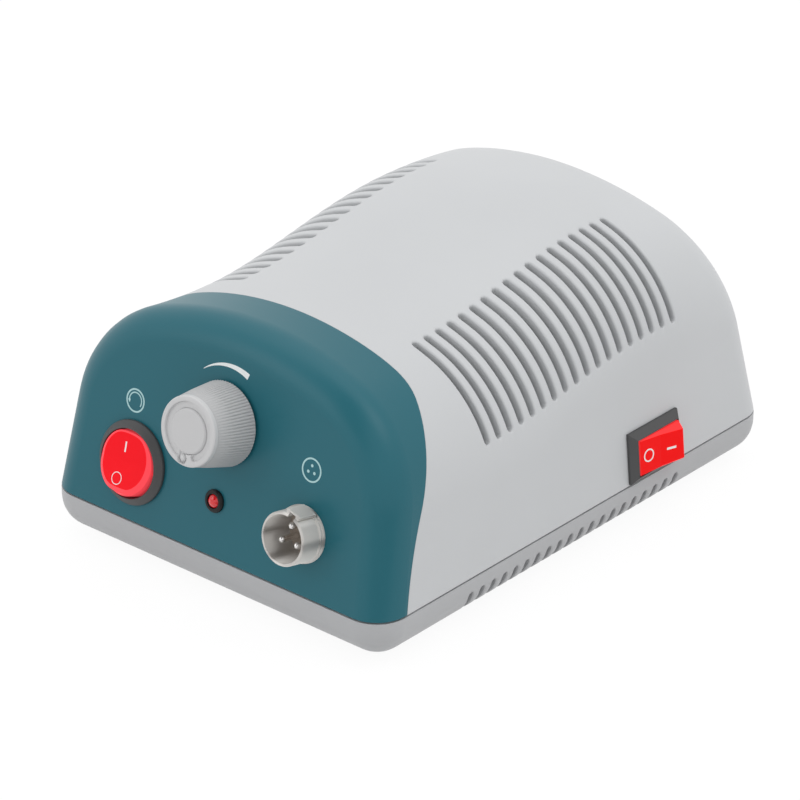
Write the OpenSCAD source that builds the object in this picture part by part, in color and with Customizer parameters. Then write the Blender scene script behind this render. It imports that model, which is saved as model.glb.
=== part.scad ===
// Control box of a laboratory micromotor: a low tray and a moulded cover with
// an arched crown, a leaning control panel, two rocker switches, a speed knob
// and a round motor socket. All sizes are in millimetres. The bench is z = 0,
// the control panel faces -Y and the mains switch is on the +X side.

/* [Housing] */
// Width of the housing at the seam
body_w = 120; // [116:1:124]
// Depth of the housing at the seam
body_d = 165; // [160:1:170]
// Height of the seam above the bench
seam_z = 14.2; // [13.8:0.1:15]
// Wall thickness of the cover, the panel and the tray
wall = 2.5; // [2.2:0.1:2.8]
// Height of the dark line between tray and cover
seam_gap = 0.5; // [0.3:0.1:0.7]
// Rounding of the housing's corners, its end edges and the tray's lower edges
corner_r = 9.4; // [9:0.1:9.8]
// Inward lean of the side walls, in degrees
draft = 5.5; // [5:0.5:6]
// Lean of the control panel and of the rear end, in degrees
lean = 12; // [11:0.5:13]

/* [Crown] */
// Lowest crown height above the seam, behind the panel
crown_dip = 58.4; // [57.5:0.1:59]
// Highest crown height above the seam
crown_peak = 67; // [66:0.1:68]
// Rise of the crown from its lowest point to the front edge
crown_rise = 6.6; // [6:0.1:7]
// Fall of the crown from its highest point to the rear edge
crown_fall = 6.6; // [6:0.1:7]
// Distance of the lowest point from mid-depth, towards the front
dip_back = 35; // [33:1:38]
// Distance of the highest point from mid-depth, towards the rear
peak_back = 36; // [34:1:38]
// Radius of the arch over the crown
crown_r = 105; // [100:1:110]
// Radius of the arch over the shoulders
shoulder_r = 34.6; // [34:0.1:35.4]

/* [Panel line] */
// Radius of the curved front edge of the main cover, seen from the side
edge_r = 115; // [112:1:118]
// Distance of the cover's straight front edge from mid-depth
edge_front = 47.5; // [46:0.5:49]

/* [Cooling slots] */
// Number of slots in each side of the cover
cover_slots = 18; // [12:1:18]
// Number of slots in each side of the tray
tray_slots = 20; // [12:1:20]
// Distance between neighbouring slots
slot_pitch = 4.59; // [4.5:0.01:4.6]
// Width of a slot
slot_w = 2; // [1.6:0.1:2.2]

/* [Speed knob] */
// Diameter of the knob at its foot
knob_d = 23; // [21:0.5:24]
// Diameter of the knob at its front face
knob_front_d = 19.4; // [18:0.2:20]
// Height of the knob's front face over the panel
knob_h = 14.5; // [13.5:0.5:16]
// Number of ribs round the knob
knob_ribs = 80; // [60:1:90]
// Height of the knob's axis up the panel
knob_up = 37; // [36:0.5:38]

/* [Switches] */
// Bezel diameter of the round rocker switch
round_bezel_d = 23.2; // [22.8:0.2:23.6]
// Tilt of a rocker to either side of its middle, in degrees
rocker_tilt = 10.5; // [9:0.5:11]
// Bezel length of the side rocker switch
side_bezel_l = 21.5; // [21:0.1:22]
// Bezel height of the side rocker switch
side_bezel_h = 14.9; // [14.5:0.1:15.1]

/* [Motor socket] */
// Outer diameter of the socket's shell
shell_d = 14.5; // [14:0.1:15]
// Height of the shell over the panel
shell_h = 7.9; // [7:0.1:9]

/* [Hidden] */
$fn = 64;
half_w = body_w / 2;
half_d = body_d / 2;
half_gap = seam_gap / 2;
draft_cos = cos(draft);
draft_tan = tan(draft);
lean_cos = cos(lean);
lean_sin = sin(lean);
lean_tan = tan(lean);

// Radial play of a turning or pushed-in part, clearance of a screw's hole, how
// far a cut reaches past a face, and how far two joined forms are pushed together
fit = 0.05;
loose = 0.3;
past = 1;
joined = 0.01;

// Frames: on the control panel (x right, y up the panel, z out), on the right
// wall (x to the rear, y up, z out) and on the rear end (x to -X, y up, z out)
module on_panel(x, up)
    translate([0, -half_d, seam_z])
        rotate([90 - lean, 0, 0])
            translate([x, up, 0])
                children();
module on_side(y, up)
    translate([half_w, 0, seam_z])
        rotate([0, -draft, 0])
            rotate([90, 0, 90])
                translate([y, up, 0])
                    children();
module on_rear(x, up)
    translate([0, half_d, seam_z])
        rotate([90 - lean, 0, 180])
            translate([x, up, 0])
                children();

// Copies at four corners, on both sides, and to front and rear
module four(at)
    for (sx = [-1, 1])
        for (sy = [-1, 1])
            translate([sx * at[0], sy * at[1], 0])
                children();
module both_sides()
    for (s = [0, 1])
        mirror([s, 0, 0])
            children();
module fore_and_aft(y)
    for (s = [-1, 1])
        translate([0, s * y, 0])
            children();

// A bar along X from a flat outline, a round pin between two heights, a hexagon
// nut, and a box on its middle
module along_x(l)
    rotate([90, 0, 90])
        translate([0, 0, -l / 2])
            linear_extrude(l)
                children();
module pin(r, z0, z1)
    translate([0, 0, z0])
        cylinder(r = r, h = z1 - z0);
module hexagon(across, z0, h)
    translate([0, 0, z0])
        cylinder(r = across / sqrt(3), h = h, $fn = 6);
module block(l, w, z0, z1)
    translate([0, 0, z0])
        linear_extrude(z1 - z0)
            square([l, w], center = true);

// Round-cornered rectangle, slot with round ends, and the lower half of a disc
module soft_rect(w, d, r) {
    square([w - 2 * r, d], center = true);
    square([w, d - 2 * r], center = true);
    for (sx = [-1, 1])
        for (sy = [-1, 1])
            translate([sx * (w / 2 - r), sy * (d / 2 - r)])
                circle(r = r);
}
module slot_2d(w, v0, v1) {
    translate([-w / 2, v0 + w / 2]) square([w, v1 - v0 - w]);
    translate([0, v0 + w / 2]) circle(r = w / 2);
    translate([0, v1 - w / 2]) circle(r = w / 2);
}
module lower_disc(r)
    intersection() {
        circle(r = r);
        translate([-r, -r]) square([2 * r, r]);
    }

// Crown height above the seam at depth y
dip_y = -dip_back;
peak_y = peak_back;
function crown(y) =
    y < dip_y ? crown_dip + crown_rise * pow((dip_y - y) / (half_d - dip_back), 2)
    : y < peak_y ? crown_dip + (crown_peak - crown_dip) / 2 * (1 - cos(180 * (y - dip_y) / (peak_y - dip_y)))
    : crown_peak - crown_fall * pow((y - peak_y) / (half_d - peak_back), 2);

// Arch section under a crown height c: the crown arc, centred on the middle
// plane at height arch_low, runs at the angle arch_turn into the shoulder arc,
// centred at (arch_x, arch_z), and that one into the wall with its draft
arch_a = (half_w * draft_cos - shoulder_r) / draft_cos;
arch_step = crown_r - shoulder_r;
function arch_low(c) = c - crown_r;
function arch_k(c) = arch_a * draft_tan + arch_low(c);
function arch_root(c) = pow(arch_k(c), 2)
    - (1 + pow(draft_tan, 2)) * (pow(arch_a, 2) + pow(arch_low(c), 2) - pow(arch_step, 2));
function arch_z(c) = (arch_k(c) + sqrt(arch_root(c))) / (1 + pow(draft_tan, 2));
function arch_x(c) = arch_a - draft_tan * arch_z(c);
function arch_turn(c) = atan2(arch_z(c) - arch_low(c), arch_x(c));

// Point k of the half section with crown c, moved inwards by s, and with its
// foot at height z0: k = 0 is the foot, k = 1 the start of the shoulder, k = ns
// the start of the crown arc and k = nk the middle of the crown
function half_pt(k, ns, nk, c, s, z0) =
    k == 0 ? [half_w - s / draft_cos - z0 * draft_tan, z0]
    : k <= ns ? let (t = draft + (arch_turn(c) - draft) * (k - 1) / (ns - 1))
        [arch_x(c) + (shoulder_r - s) * cos(t), arch_z(c) + (shoulder_r - s) * sin(t)]
    : let (t = arch_turn(c) + (90 - arch_turn(c)) * (k - ns) / (nk - ns))
        [(crown_r - s) * cos(t), arch_low(c) + (crown_r - s) * sin(t)];

// The same point in a leaning ring, y = y0 + slope * z, where the crown is taken
// at the point's own depth, found in a few steps from a first height
first_z = 40;
steps = 5;
function ring_pt(k, ns, nk, y0, slope, s, z0, z, left) =
    let (p = half_pt(k, ns, nk, crown(y0 + slope * z), s, z0))
        left == 0 ? [p[0], y0 + slope * p[1], p[1]]
        : ring_pt(k, ns, nk, y0, slope, s, z0, p[1], left - 1);

// Solid below the arch, from ring to ring. A ring is [depth at the seam, slope,
// inset]. Both ends lean and are rounded with the radius corner_r.
module arch_body(inset, z0, n_end, n_mid, ns, nk) {
    r = corner_r - inset;
    y_end = half_d - inset / lean_cos;
    quarter = [for (i = [0:n_end]) 90 * i / n_end];
    front = [for (t = quarter) [-y_end + r * (1 - cos(t)), lean_tan, inset + r * (1 - sin(t))]];
    middle = [for (i = [1:n_mid - 1])
        let (u = i / n_mid) [(2 * u - 1) * (y_end - r), lean_tan * (1 - 2 * u), inset]];
    rear = [for (t = quarter) [y_end - r * (1 - sin(t)), -lean_tan, inset + r * (1 - cos(t))]];
    rings = concat(front, middle, rear);
    m = len(rings);
    n = 2 * nk + 1;
    points = [for (q = rings)
        for (j = [0:2 * nk])
            let (k = min(j, 2 * nk - j), p = ring_pt(k, ns, nk, q[0], q[1], q[2], z0, first_z, steps))
                [j <= nk ? p[0] : -p[0], p[1], p[2]]];
    sides = [for (i = [0:m - 2])
        for (j = [0:n - 2])
            each [
                [i * n + j, (i + 1) * n + j + 1, (i + 1) * n + j],
                [i * n + j, i * n + j + 1, (i + 1) * n + j + 1]
            ]];
    under = [for (i = [0:m - 2])
        each [
            [i * n, (i + 1) * n + n - 1, i * n + n - 1],
            [i * n, (i + 1) * n, (i + 1) * n + n - 1]
        ]];
    ends = [[for (j = [n - 1:-1:0]) j], [for (j = [0:n - 1]) (m - 1) * n + j]];
    translate([0, 0, seam_z])
        polyhedron(points = points, faces = concat(sides, under, ends), convexity = 6);
}
module outer_arch() arch_body(0, half_gap, 6, 20, 10, 16);
module inner_arch() arch_body(wall, -past, 4, 16, 8, 12);

// Feet, tray floor, tray height, and the lip that stands up under the cover
foot_h = 2;
foot_r = 6;
foot_sink = 1;
foot_at = [half_w - 15, half_d - 15.5];
floor_z = foot_h + wall;
tray_top = seam_z - half_gap;
lip_w = 1.2;
lip_root = 2;

// Case screws, their heads and seats, and the posts that they pull together
post_at = [half_w - 14.5, half_d - 29.5];
post_r = 4;
post_top = seam_z + 20;
screw_r = 1.5;
screw_head_r = 2.8;
screw_head_h = 2;
screw_seat = foot_h + 4;
screw_l = 22;
cross_l = 3.6;
cross_w = 0.7;
cross_h = 1;

// Outer form of the tray, moved inwards by inset and cut off at the height z1:
// two bars that cross, and a ball-shaped corner in each gap between them
module tray_form(inset, z1) {
    r = corner_r - inset;
    z0 = foot_h + inset;
    middle = [half_w - corner_r, half_d - corner_r];
    along_x(2 * middle[0]) tray_profile(half_d - inset, z0, z1, r);
    rotate([0, 0, 90]) along_x(2 * middle[1]) tray_profile(half_w - inset, z0, z1, r);
    for (k = [0:3])
        translate([(k == 0 || k == 3 ? 1 : -1) * middle[0], (k < 2 ? 1 : -1) * middle[1], z0 + r])
            rotate(90 * k)
                rotate_extrude(angle = 90) {
                    square([r, z1 - z0 - r]);
                    intersection() {
                        circle(r = r);
                        translate([0, -r]) square([r, r]);
                    }
                }
}
module tray_profile(half, z0, z1, r) {
    translate([-half, z0 + r]) square([2 * half, z1 - z0 - r]);
    translate([-half + r, z0]) square([2 * (half - r), z1 - z0]);
    for (s = [-1, 1])
        translate([s * (half - r), z0 + r]) lower_disc(r);
}

// Slots of one side of the tray, from just below the seam round the lower edge,
// cut along a line that falls inwards at 45 degrees
tray_slot_mid = -2.7;
tray_slot_top = 10;
tray_slot_in = half_w - 8.4;
tray_cut_from = (half_w - seam_z) * sqrt(0.5) - 4;
tray_cut_reach = 26;
module tray_slot_cut() {
    v0 = -(half_w + tray_slot_top) * sqrt(0.5);
    v1 = -(tray_slot_in + foot_h) * sqrt(0.5);
    rotate([0, 135, 0])
        translate([0, 0, tray_cut_from])
            linear_extrude(tray_cut_reach)
                for (i = [0:tray_slots - 1])
                    translate([0, tray_slot_mid + slot_pitch * (i - (tray_slots - 1) / 2)])
                        rotate(-90)
                            slot_2d(slot_w, v0, v1);
}

// Tray: a shallow tub with walls and floor of one thickness, a lip under the
// cover, posts for the case screws and standoffs for transformer and board
module tray()
    color("lightgray")
        difference() {
            union() {
                difference() {
                    tray_form(0, tray_top);
                    tray_form(wall, tray_top + past);
                }
                tray_lip();
                four(post_at) pin(post_r, floor_z - joined, seam_z + half_gap);
                at_board() four(board_hole) pin(standoff_r, floor_z - joined, board_z);
                at_core() fore_and_aft(frame_hole) pin(standoff_r, floor_z - joined, core_z);
            }
            both_sides() tray_slot_cut();
            four(foot_at) pin(foot_r, 0, foot_h + foot_sink);
            four(post_at) {
                pin(screw_r + loose, 0, seam_z + past);
                pin(screw_head_r + loose, 0, screw_seat);
            }
            at_board() four(board_hole) pin(board_screw_r, board_z - board_screw_l, board_z + past);
            at_core() fore_and_aft(frame_hole) pin(frame_screw_r, frame_screw_z, core_z + past);
        }
module tray_lip() {
    out = wall - lip_w;
    in = wall + fit;
    translate([0, 0, tray_top - lip_root])
        linear_extrude(lip_root + seam_gap)
            difference() {
                soft_rect(body_w - 2 * out, body_d - 2 * out, corner_r - out);
                soft_rect(body_w - 2 * in, body_d - 2 * in, corner_r - in);
            }
}

// Feet: four discs pressed into round recesses under the tray
module rubber_feet()
    color("dimgray")
        four(foot_at)
            pin(foot_r, 0, foot_h + foot_sink);

// Case screws: from below through the tray's posts into the cover's posts
module case_screws()
    color("silver")
        four(post_at) {
            head = screw_seat - screw_head_h;
            difference() {
                pin(screw_head_r, head, screw_seat);
                block(cross_l, cross_w, head - past, head + cross_h);
                block(cross_w, cross_l, head - past, head + cross_h);
            }
            pin(screw_r, screw_seat, screw_seat + screw_l);
        }

// Cover region, seen from the side (depth y, height z above the seam): inside a
// large circle, and over the crown behind a straight line. A small arc joins
// the two.
edge_y = 40.7;
edge_z = -22.3;
edge_join_r = 12;
join_y = -edge_front - edge_join_r;
join_z = edge_z + sqrt(pow(edge_r + edge_join_r, 2) - pow(edge_y - join_y, 2));
join_a = atan2(join_z - edge_z, edge_y - join_y);
edge_below = 4;
edge_parts = 16;
join_parts = 5;
region_top = 100;
region_side = 30;
module cover_region() {
    big = [for (i = [0:edge_parts])
        let (t = -edge_below + (join_a + edge_below) * i / edge_parts)
            [edge_y - edge_r * cos(t), edge_z + edge_r * sin(t)]];
    small = [for (i = [1:join_parts])
        let (t = join_a * (1 - i / join_parts))
            [join_y + edge_join_r * cos(t), join_z - edge_join_r * sin(t)]];
    behind = half_d + region_side;
    far = [[-edge_front, region_top], [behind, region_top], [behind, -region_side]];
    translate([0, 0, seam_z])
        along_x(body_w + region_side)
            polygon(concat(big, small, far));
}

// Slots of one side of the cover, cut along a line that rises outwards at the
// angle slot_dir. They run from tip_x on the crown to low_x on the wall.
slot_dir = 46;
tip_x = half_w - 30.5;
low_x = half_w - 4.6;
cover_slot_mid = 4.4;
cover_cut_from = half_w - 6;
cover_cut_reach = 30;
function arch_top(x, c) =
    x < arch_x(c) + shoulder_r * cos(arch_turn(c)) ? arch_low(c) + sqrt(pow(crown_r, 2) - pow(x, 2))
    : arch_z(c) + sqrt(pow(shoulder_r, 2) - pow(x - arch_x(c), 2));
function along_slot(x, c) = x * sin(slot_dir) - arch_top(x, c) * cos(slot_dir);
module cover_slot_cut()
    translate([0, 0, seam_z])
        rotate([0, 90 - slot_dir, 0])
            translate([0, 0, cover_cut_from])
                linear_extrude(cover_cut_reach)
                    for (i = [0:cover_slots - 1]) {
                        y = cover_slot_mid + slot_pitch * (i - (cover_slots - 1) / 2);
                        translate([0, y])
                            rotate(-90)
                                slot_2d(slot_w, along_slot(tip_x, crown(y)), along_slot(low_x, crown(y)));
                    }

// Main cover: the arch behind the curved front edge, slotted on both sides, with
// a webbed post for each case screw
module main_cover()
    color("gainsboro")
        difference() {
            union() {
                difference() {
                    intersection() {
                        outer_arch();
                        cover_region();
                    }
                    inner_arch();
                }
                four(post_at) pin(post_r, seam_z + half_gap, post_top);
                both_sides() fore_and_aft(post_at[1]) post_web();
            }
            both_sides() cover_slot_cut();
            four(post_at) pin(screw_r, seam_z - past, screw_seat + screw_l + past);
            on_side(side_y, side_up) block(side_hole_l, side_hole_h, -through, through);
            on_rear(inlet_x, inlet_up) block(inlet_hole_w, inlet_hole_h, -through, through);
            on_rear(fuse_x, inlet_up) pin(fuse_r + fit, -through, through);
        }
through = 15;
web_t = 2;
module post_web() {
    foot = seam_z + half_gap;
    mid = half_w - wall / 2;
    rotate([90, 0, 0])
        linear_extrude(web_t, center = true)
            polygon([
                [post_at[0], foot],
                [mid - half_gap * draft_tan, foot],
                [mid - (post_top - seam_z) * draft_tan, post_top],
                [post_at[0], post_top]
            ]);
}

// Control panel: the rest of the arch, in front of the cover's curved edge
module front_panel()
    color("cadetblue")
        difference() {
            outer_arch();
            inner_arch();
            cover_region();
            on_panel(round_x, round_up) pin(round_body_r + fit, -through, through);
            on_panel(0, knob_up) pin(bushing_r + 2 * fit, -through, through);
            on_panel(0, led_up) pin(led_body_r + fit, -through, through);
            on_panel(socket_x, socket_up) pin(socket_body_r + fit, -through, through);
        }

// Blades of a switch, which stick in slots of its floor
blade_w = 4.8;
blade_t = 0.8;
blade_l = 9;
blade_in = 5;
blade_gap = 5.4;
module blades(n, depth)
    for (i = [0:n - 1])
        translate([0, (i - (n - 1) / 2) * blade_gap, 0])
            block(blade_w, blade_t, -depth - blade_l, -depth + blade_in);

// Rocker outline, seen along its pin: a barrel with a shallow V on top
face_dish = 3.3;
rock_gap = 0.4;
rocker_below = 2.5;
module rocker_outline(swing_r, face_h) {
    side = swing_r + past;
    top = face_h + side * tan(face_dish);
    intersection() {
        circle(r = swing_r);
        polygon([[-side, -rocker_below], [side, -rocker_below], [side, top], [0, face_h], [-side, top]]);
    }
}
plunger_r = 2;
plunger_l = 6;

// Round rocker switch: a bezel ring and a round body with a floor, clipped into
// the panel
round_x = -30;
round_up = 16.3;
round_bezel_r = round_bezel_d / 2;
round_body_r = round_bezel_r - 1.6;
round_open_r = round_bezel_r - 2.1;
bezel_edge_h = 0.9;
bezel_h = 2.4;
bezel_land = 0.3;
round_depth = 16;
round_floor = 9;
round_pivot = 0.78;
round_pin_r = 1.2;
round_face_h = 2.8;
round_pin_l = 2 * round_body_r;
round_swing_r = round_open_r - rock_gap;
module mode_switch_body()
    color("dimgray")
        on_panel(round_x, round_up)
            difference() {
                rotate_extrude()
                    polygon([
                        [0, -round_depth], [round_body_r, -round_depth],
                        [round_body_r, 0], [round_bezel_r, 0],
                        [round_bezel_r, bezel_edge_h], [round_open_r + bezel_land, bezel_h],
                        [round_open_r, bezel_h], [round_open_r, -round_floor],
                        [0, -round_floor]
                    ]);
                translate([0, 0, round_pivot]) along_x(round_pin_l + past) circle(r = round_pin_r + fit);
                blades(3, round_depth);
            }
module mode_switch_terminals()
    color("goldenrod")
        on_panel(round_x, round_up)
            blades(3, round_depth);

// Round button: at rest the upper end is pressed in, and it turns about its pin
module mode_button()
    color("red")
        on_panel(round_x, round_up)
            translate([0, 0, round_pivot])
                rotate([-rocker_tilt, 0, 0]) {
                    intersection() {
                        along_x(2 * round_swing_r) rocker_outline(round_swing_r, round_face_h);
                        pin(round_swing_r - 2 * fit, -round_swing_r, round_swing_r);
                    }
                    along_x(round_pin_l) circle(r = round_pin_r);
                    pin(plunger_r, -plunger_l, 0);
                }

// Side rocker switch: a frame with sloping faces and a box-shaped body, clipped
// into the cover's right wall
side_y = 30.2;
side_up = 8.15;
side_hole_l = side_bezel_l - 2.1;
side_hole_h = side_bezel_h - 1.9;
side_body_l = side_hole_l - 4 * fit;
side_body_h = side_hole_h - 4 * fit;
side_open_l = side_hole_l - 1.6;
side_open_h = side_hole_h - 2.1;
side_depth = 15;
side_floor = 9;
side_pivot = 0.9;
side_face_h = 2.7;
side_bezel_edge = 0.8;
side_bezel_t = 2.7;
side_pin_r = 0.7;
side_pin_l = side_open_h + 1;
side_swing_r = side_open_l / 2 - rock_gap;
side_button_h = side_open_h - 0.6;
module power_switch_body()
    color("dimgray")
        on_side(side_y, side_up)
            difference() {
                union() {
                    intersection() {
                        along_x(side_bezel_l) frame_profile(side_bezel_h / 2, side_open_h / 2);
                        rotate(90) along_x(side_bezel_h) frame_profile(side_bezel_l / 2, side_open_l / 2);
                    }
                    block(side_body_l, side_body_h, -side_depth, 0);
                }
                block(side_open_l, side_open_h, -side_floor, side_bezel_t + past);
                rotate(90)
                    translate([0, 0, side_pivot])
                        along_x(side_pin_l + 2 * rock_gap)
                            circle(r = side_pin_r + fit);
                rotate(90) blades(2, side_depth);
            }
module frame_profile(outer, inner)
    polygon([
        [-outer, 0], [outer, 0], [outer, side_bezel_edge],
        [inner, side_bezel_t], [-inner, side_bezel_t], [-outer, side_bezel_edge]
    ]);
module power_switch_terminals()
    color("goldenrod")
        on_side(side_y, side_up)
            rotate(90)
                blades(2, side_depth);

// Side button: at rest the end nearer the panel is pressed in
module power_button()
    color("red")
        on_side(side_y, side_up)
            translate([0, 0, side_pivot])
                rotate([0, -rocker_tilt, 0]) {
                    rotate(90) {
                        along_x(side_button_h) rocker_outline(side_swing_r, side_face_h);
                        along_x(side_pin_l) circle(r = side_pin_r);
                    }
                    pin(plunger_r, -plunger_l, 0);
                }

// Speed knob: a ribbed, slightly conical grip with a smooth rim. A groove in its
// face runs nearly all the way round and ends at the pointer's dot.
knob_gap = 0.8;
knob_r = knob_d / 2;
knob_front_r = knob_front_d / 2;
rib_h = 0.35;
rim_h = 1.2;
rim_round = 0.5;
cap_r = 6.3;
cap_depth = 1.2;
groove_w = 1.6;
groove_depth = 0.8;
groove_break = 24;
pointer_at = 264;
dot_r = 1.25;
dot_low = 0.1;
knob_hollow_r = 8;
knob_hollow_h = 5;
shaft_r = 3;
flat_at = 1.5;
shaft_top = knob_h - cap_depth - 1;
module shaft_2d()
    intersection() {
        circle(r = shaft_r);
        translate([-shaft_r, -shaft_r]) square([2 * shaft_r, shaft_r + flat_at]);
    }
module speed_knob()
    color("lightgray")
        on_panel(0, knob_up) {
            difference() {
                union() {
                    knob_grip();
                    knob_rim();
                }
                rotate(pointer_at + groove_break)
                    rotate_extrude(angle = 360 - groove_break)
                        translate([cap_r, knob_h - groove_depth])
                            square([groove_w, groove_depth + past]);
                pin(cap_r, knob_h - cap_depth, knob_h + past);
                pin(knob_hollow_r, 0, knob_hollow_h);
                rotate(pointer_at - 90) linear_extrude(shaft_top) shaft_2d();
            }
            rotate(pointer_at)
                translate([cap_r + dot_r, 0, 0])
                    pin(dot_r, knob_h - groove_depth - joined, knob_h - dot_low);
        }
module knob_grip()
    translate([0, 0, knob_gap])
        linear_extrude(knob_h - rim_h - knob_gap, scale = (knob_front_r + 4 * fit) / knob_r)
            polygon([for (i = [0:2 * knob_ribs - 1])
                let (r = knob_r - (i % 2) * rib_h, t = 180 * i / knob_ribs)
                    [r * cos(t), r * sin(t)]]);
module knob_rim()
    rotate_extrude()
        polygon([
            [0, knob_h - rim_h - past],
            [knob_front_r - rim_round, knob_h - rim_h - past],
            [knob_front_r - 2 * fit, knob_h - rim_h],
            [knob_front_r, knob_h - rim_h],
            [knob_front_r, knob_h - rim_round],
            [knob_front_r - rim_round, knob_h],
            [0, knob_h]
        ]);

// Cap: a disc pressed into the knob's face
module knob_cap()
    color("whitesmoke")
        on_panel(0, knob_up)
            pin(cap_r, knob_h - cap_depth, knob_h);

// Potentiometer: a D shaft in a bushing that a washer and a nut hold in the
// panel, a round case, and three tabs that reach into it
bushing_r = 3.45;
bushing_top = 4.2;
flange_t = 1;
pot_case_r = 8.4;
pot_case_h = 9;
shaft_in = 2;
shaft_step = 0.3;
washer_r = 6;
washer_t = 0.6;
nut_across = 10;
nut_h = 2;
pot_tab = [2, 7.5, 0.6];
pot_tab_out = 6;
pot_tab_pitch = 5;
pot_tab_depth = 4;
module pot_shaft()
    color("silver")
        on_panel(0, knob_up)
            rotate(pointer_at - 90) {
                translate([0, 0, bushing_top + shaft_step])
                    linear_extrude(shaft_top - bushing_top - shaft_step)
                        shaft_2d();
                pin(shaft_r, -wall - pot_case_h + shaft_in, bushing_top + shaft_step + joined);
            }
module pot_bushing()
    color("silver")
        on_panel(0, knob_up)
            difference() {
                union() {
                    pin(bushing_r, -wall, bushing_top);
                    pin(pot_case_r - 1, -wall - flange_t, -wall);
                }
                pin(shaft_r + fit, -wall - flange_t - past, bushing_top + past);
            }
module pot_washer()
    color("silver")
        on_panel(0, knob_up)
            difference() {
                pin(washer_r, 0, washer_t);
                pin(bushing_r, -past, washer_t + past);
            }
module pot_nut()
    color("silver")
        on_panel(0, knob_up)
            difference() {
                hexagon(nut_across, washer_t, nut_h);
                pin(bushing_r, 0, washer_t + nut_h + past);
            }
module pot_body()
    color("slategray")
        on_panel(0, knob_up)
            difference() {
                pin(pot_case_r, -wall - pot_case_h, -wall - flange_t);
                pin(shaft_r + loose, -wall - pot_case_h + shaft_in / 2, 0);
                pot_tabs();
            }
module pot_terminals()
    color("goldenrod")
        on_panel(0, knob_up)
            pot_tabs();
module pot_tabs()
    for (i = [-1:1])
        translate([i * pot_tab_pitch - pot_tab[0] / 2, -pot_case_r - pot_tab_out, -wall - pot_tab_depth])
            cube(pot_tab);

// Pilot lamp: a black holder and a red lens with a round head and two leads
led_up = 15.4;
led_bezel_r = 3.15;
led_body_r = 2.6;
led_depth = 6;
led_edge_h = 0.6;
led_h = 1.1;
led_slope = 0.5;
lens_r = 1.95;
lens_l = 5.6;
dome_r = lens_r * 1.17;
lead_gap = 2.54;
lead_w = 0.5;
lead_l = 7.5;
module led_bezel()
    color("black")
        on_panel(0, led_up)
            difference() {
                rotate_extrude()
                    polygon([
                        [0, -led_depth], [led_body_r, -led_depth],
                        [led_body_r, 0], [led_bezel_r, 0],
                        [led_bezel_r, led_edge_h], [led_bezel_r - led_slope, led_h],
                        [0, led_h]
                    ]);
                pin(lens_r, -led_depth - past, led_h + past);
            }
module led_lamp()
    color("red")
        on_panel(0, led_up) {
            dome_low = sqrt(pow(dome_r, 2) - pow(lens_r, 2));
            lead_top = led_edge_h - lens_l + past / 2;
            pin(lens_r, led_edge_h - lens_l, led_edge_h);
            translate([0, 0, led_edge_h - dome_low])
                intersection() {
                    sphere(r = dome_r);
                    pin(lens_r, dome_low, dome_r + past);
                }
            for (s = [-1, 1])
                translate([s * lead_gap / 2, 0, 0])
                    block(lead_w, lead_w, lead_top - lead_l, lead_top);
        }

// Motor socket: a bright shell with a foot ring and a key slot inside, an
// insert, three pins with round tips, and the nut behind the panel
socket_x = 30.5;
socket_up = 16.6;
shell_r = shell_d / 2;
shell_t = 0.8;
shell_lip = 0.3;
ledge_w = 0.4;
socket_body_r = shell_r - 0.4;
socket_ring_r = shell_r + 0.5;
ring_low = 0.8;
ring_high = 1.3;
insert_r = shell_r - shell_t - ledge_w;
insert_top = 0.4;
insert_back = 1;
key_at = 72;
key_w = 2;
key_depth = 0.4;
contact_circle = 3.05;
contact_r = 0.75;
contact_top = 5.5;
contact_tail = 3;
tip_r = contact_r + fit;
socket_depth = 9;
socket_nut_across = 18;
socket_nut_h = 2.5;
module socket_shell()
    color("silver")
        on_panel(socket_x, socket_up)
            difference() {
                rotate_extrude()
                    polygon([
                        [insert_r, -socket_depth], [socket_body_r, -socket_depth],
                        [socket_body_r, 0], [socket_ring_r, 0],
                        [socket_ring_r, ring_low], [shell_r, ring_high],
                        [shell_r, shell_h - shell_lip], [shell_r - shell_lip, shell_h],
                        [shell_r - shell_t, shell_h], [shell_r - shell_t, insert_top],
                        [insert_r, insert_top]
                    ]);
                rotate(key_at)
                    translate([shell_r - shell_t, 0, 0])
                        block(2 * key_depth, key_w, insert_top + past, shell_h + past);
            }
module socket_insert()
    color("saddlebrown")
        on_panel(socket_x, socket_up)
            difference() {
                pin(insert_r, -socket_depth + insert_back, insert_top);
                contacts();
            }
module contacts()
    for (t = [90, 210, 330])
        rotate(t)
            translate([contact_circle, 0, 0])
                pin(contact_r, -socket_depth - contact_tail, contact_top - contact_r);
module socket_pins()
    color("silver")
        on_panel(socket_x, socket_up) {
            contacts();
            for (t = [90, 210, 330])
                rotate(t)
                    translate([contact_circle, 0, contact_top - contact_r])
                        sphere(r = tip_r);
        }
module socket_nut()
    color("silver")
        on_panel(socket_x, socket_up)
            difference() {
                hexagon(socket_nut_across, -wall - socket_nut_h, socket_nut_h);
                pin(socket_body_r, -wall - socket_nut_h - past, 0);
            }

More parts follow.
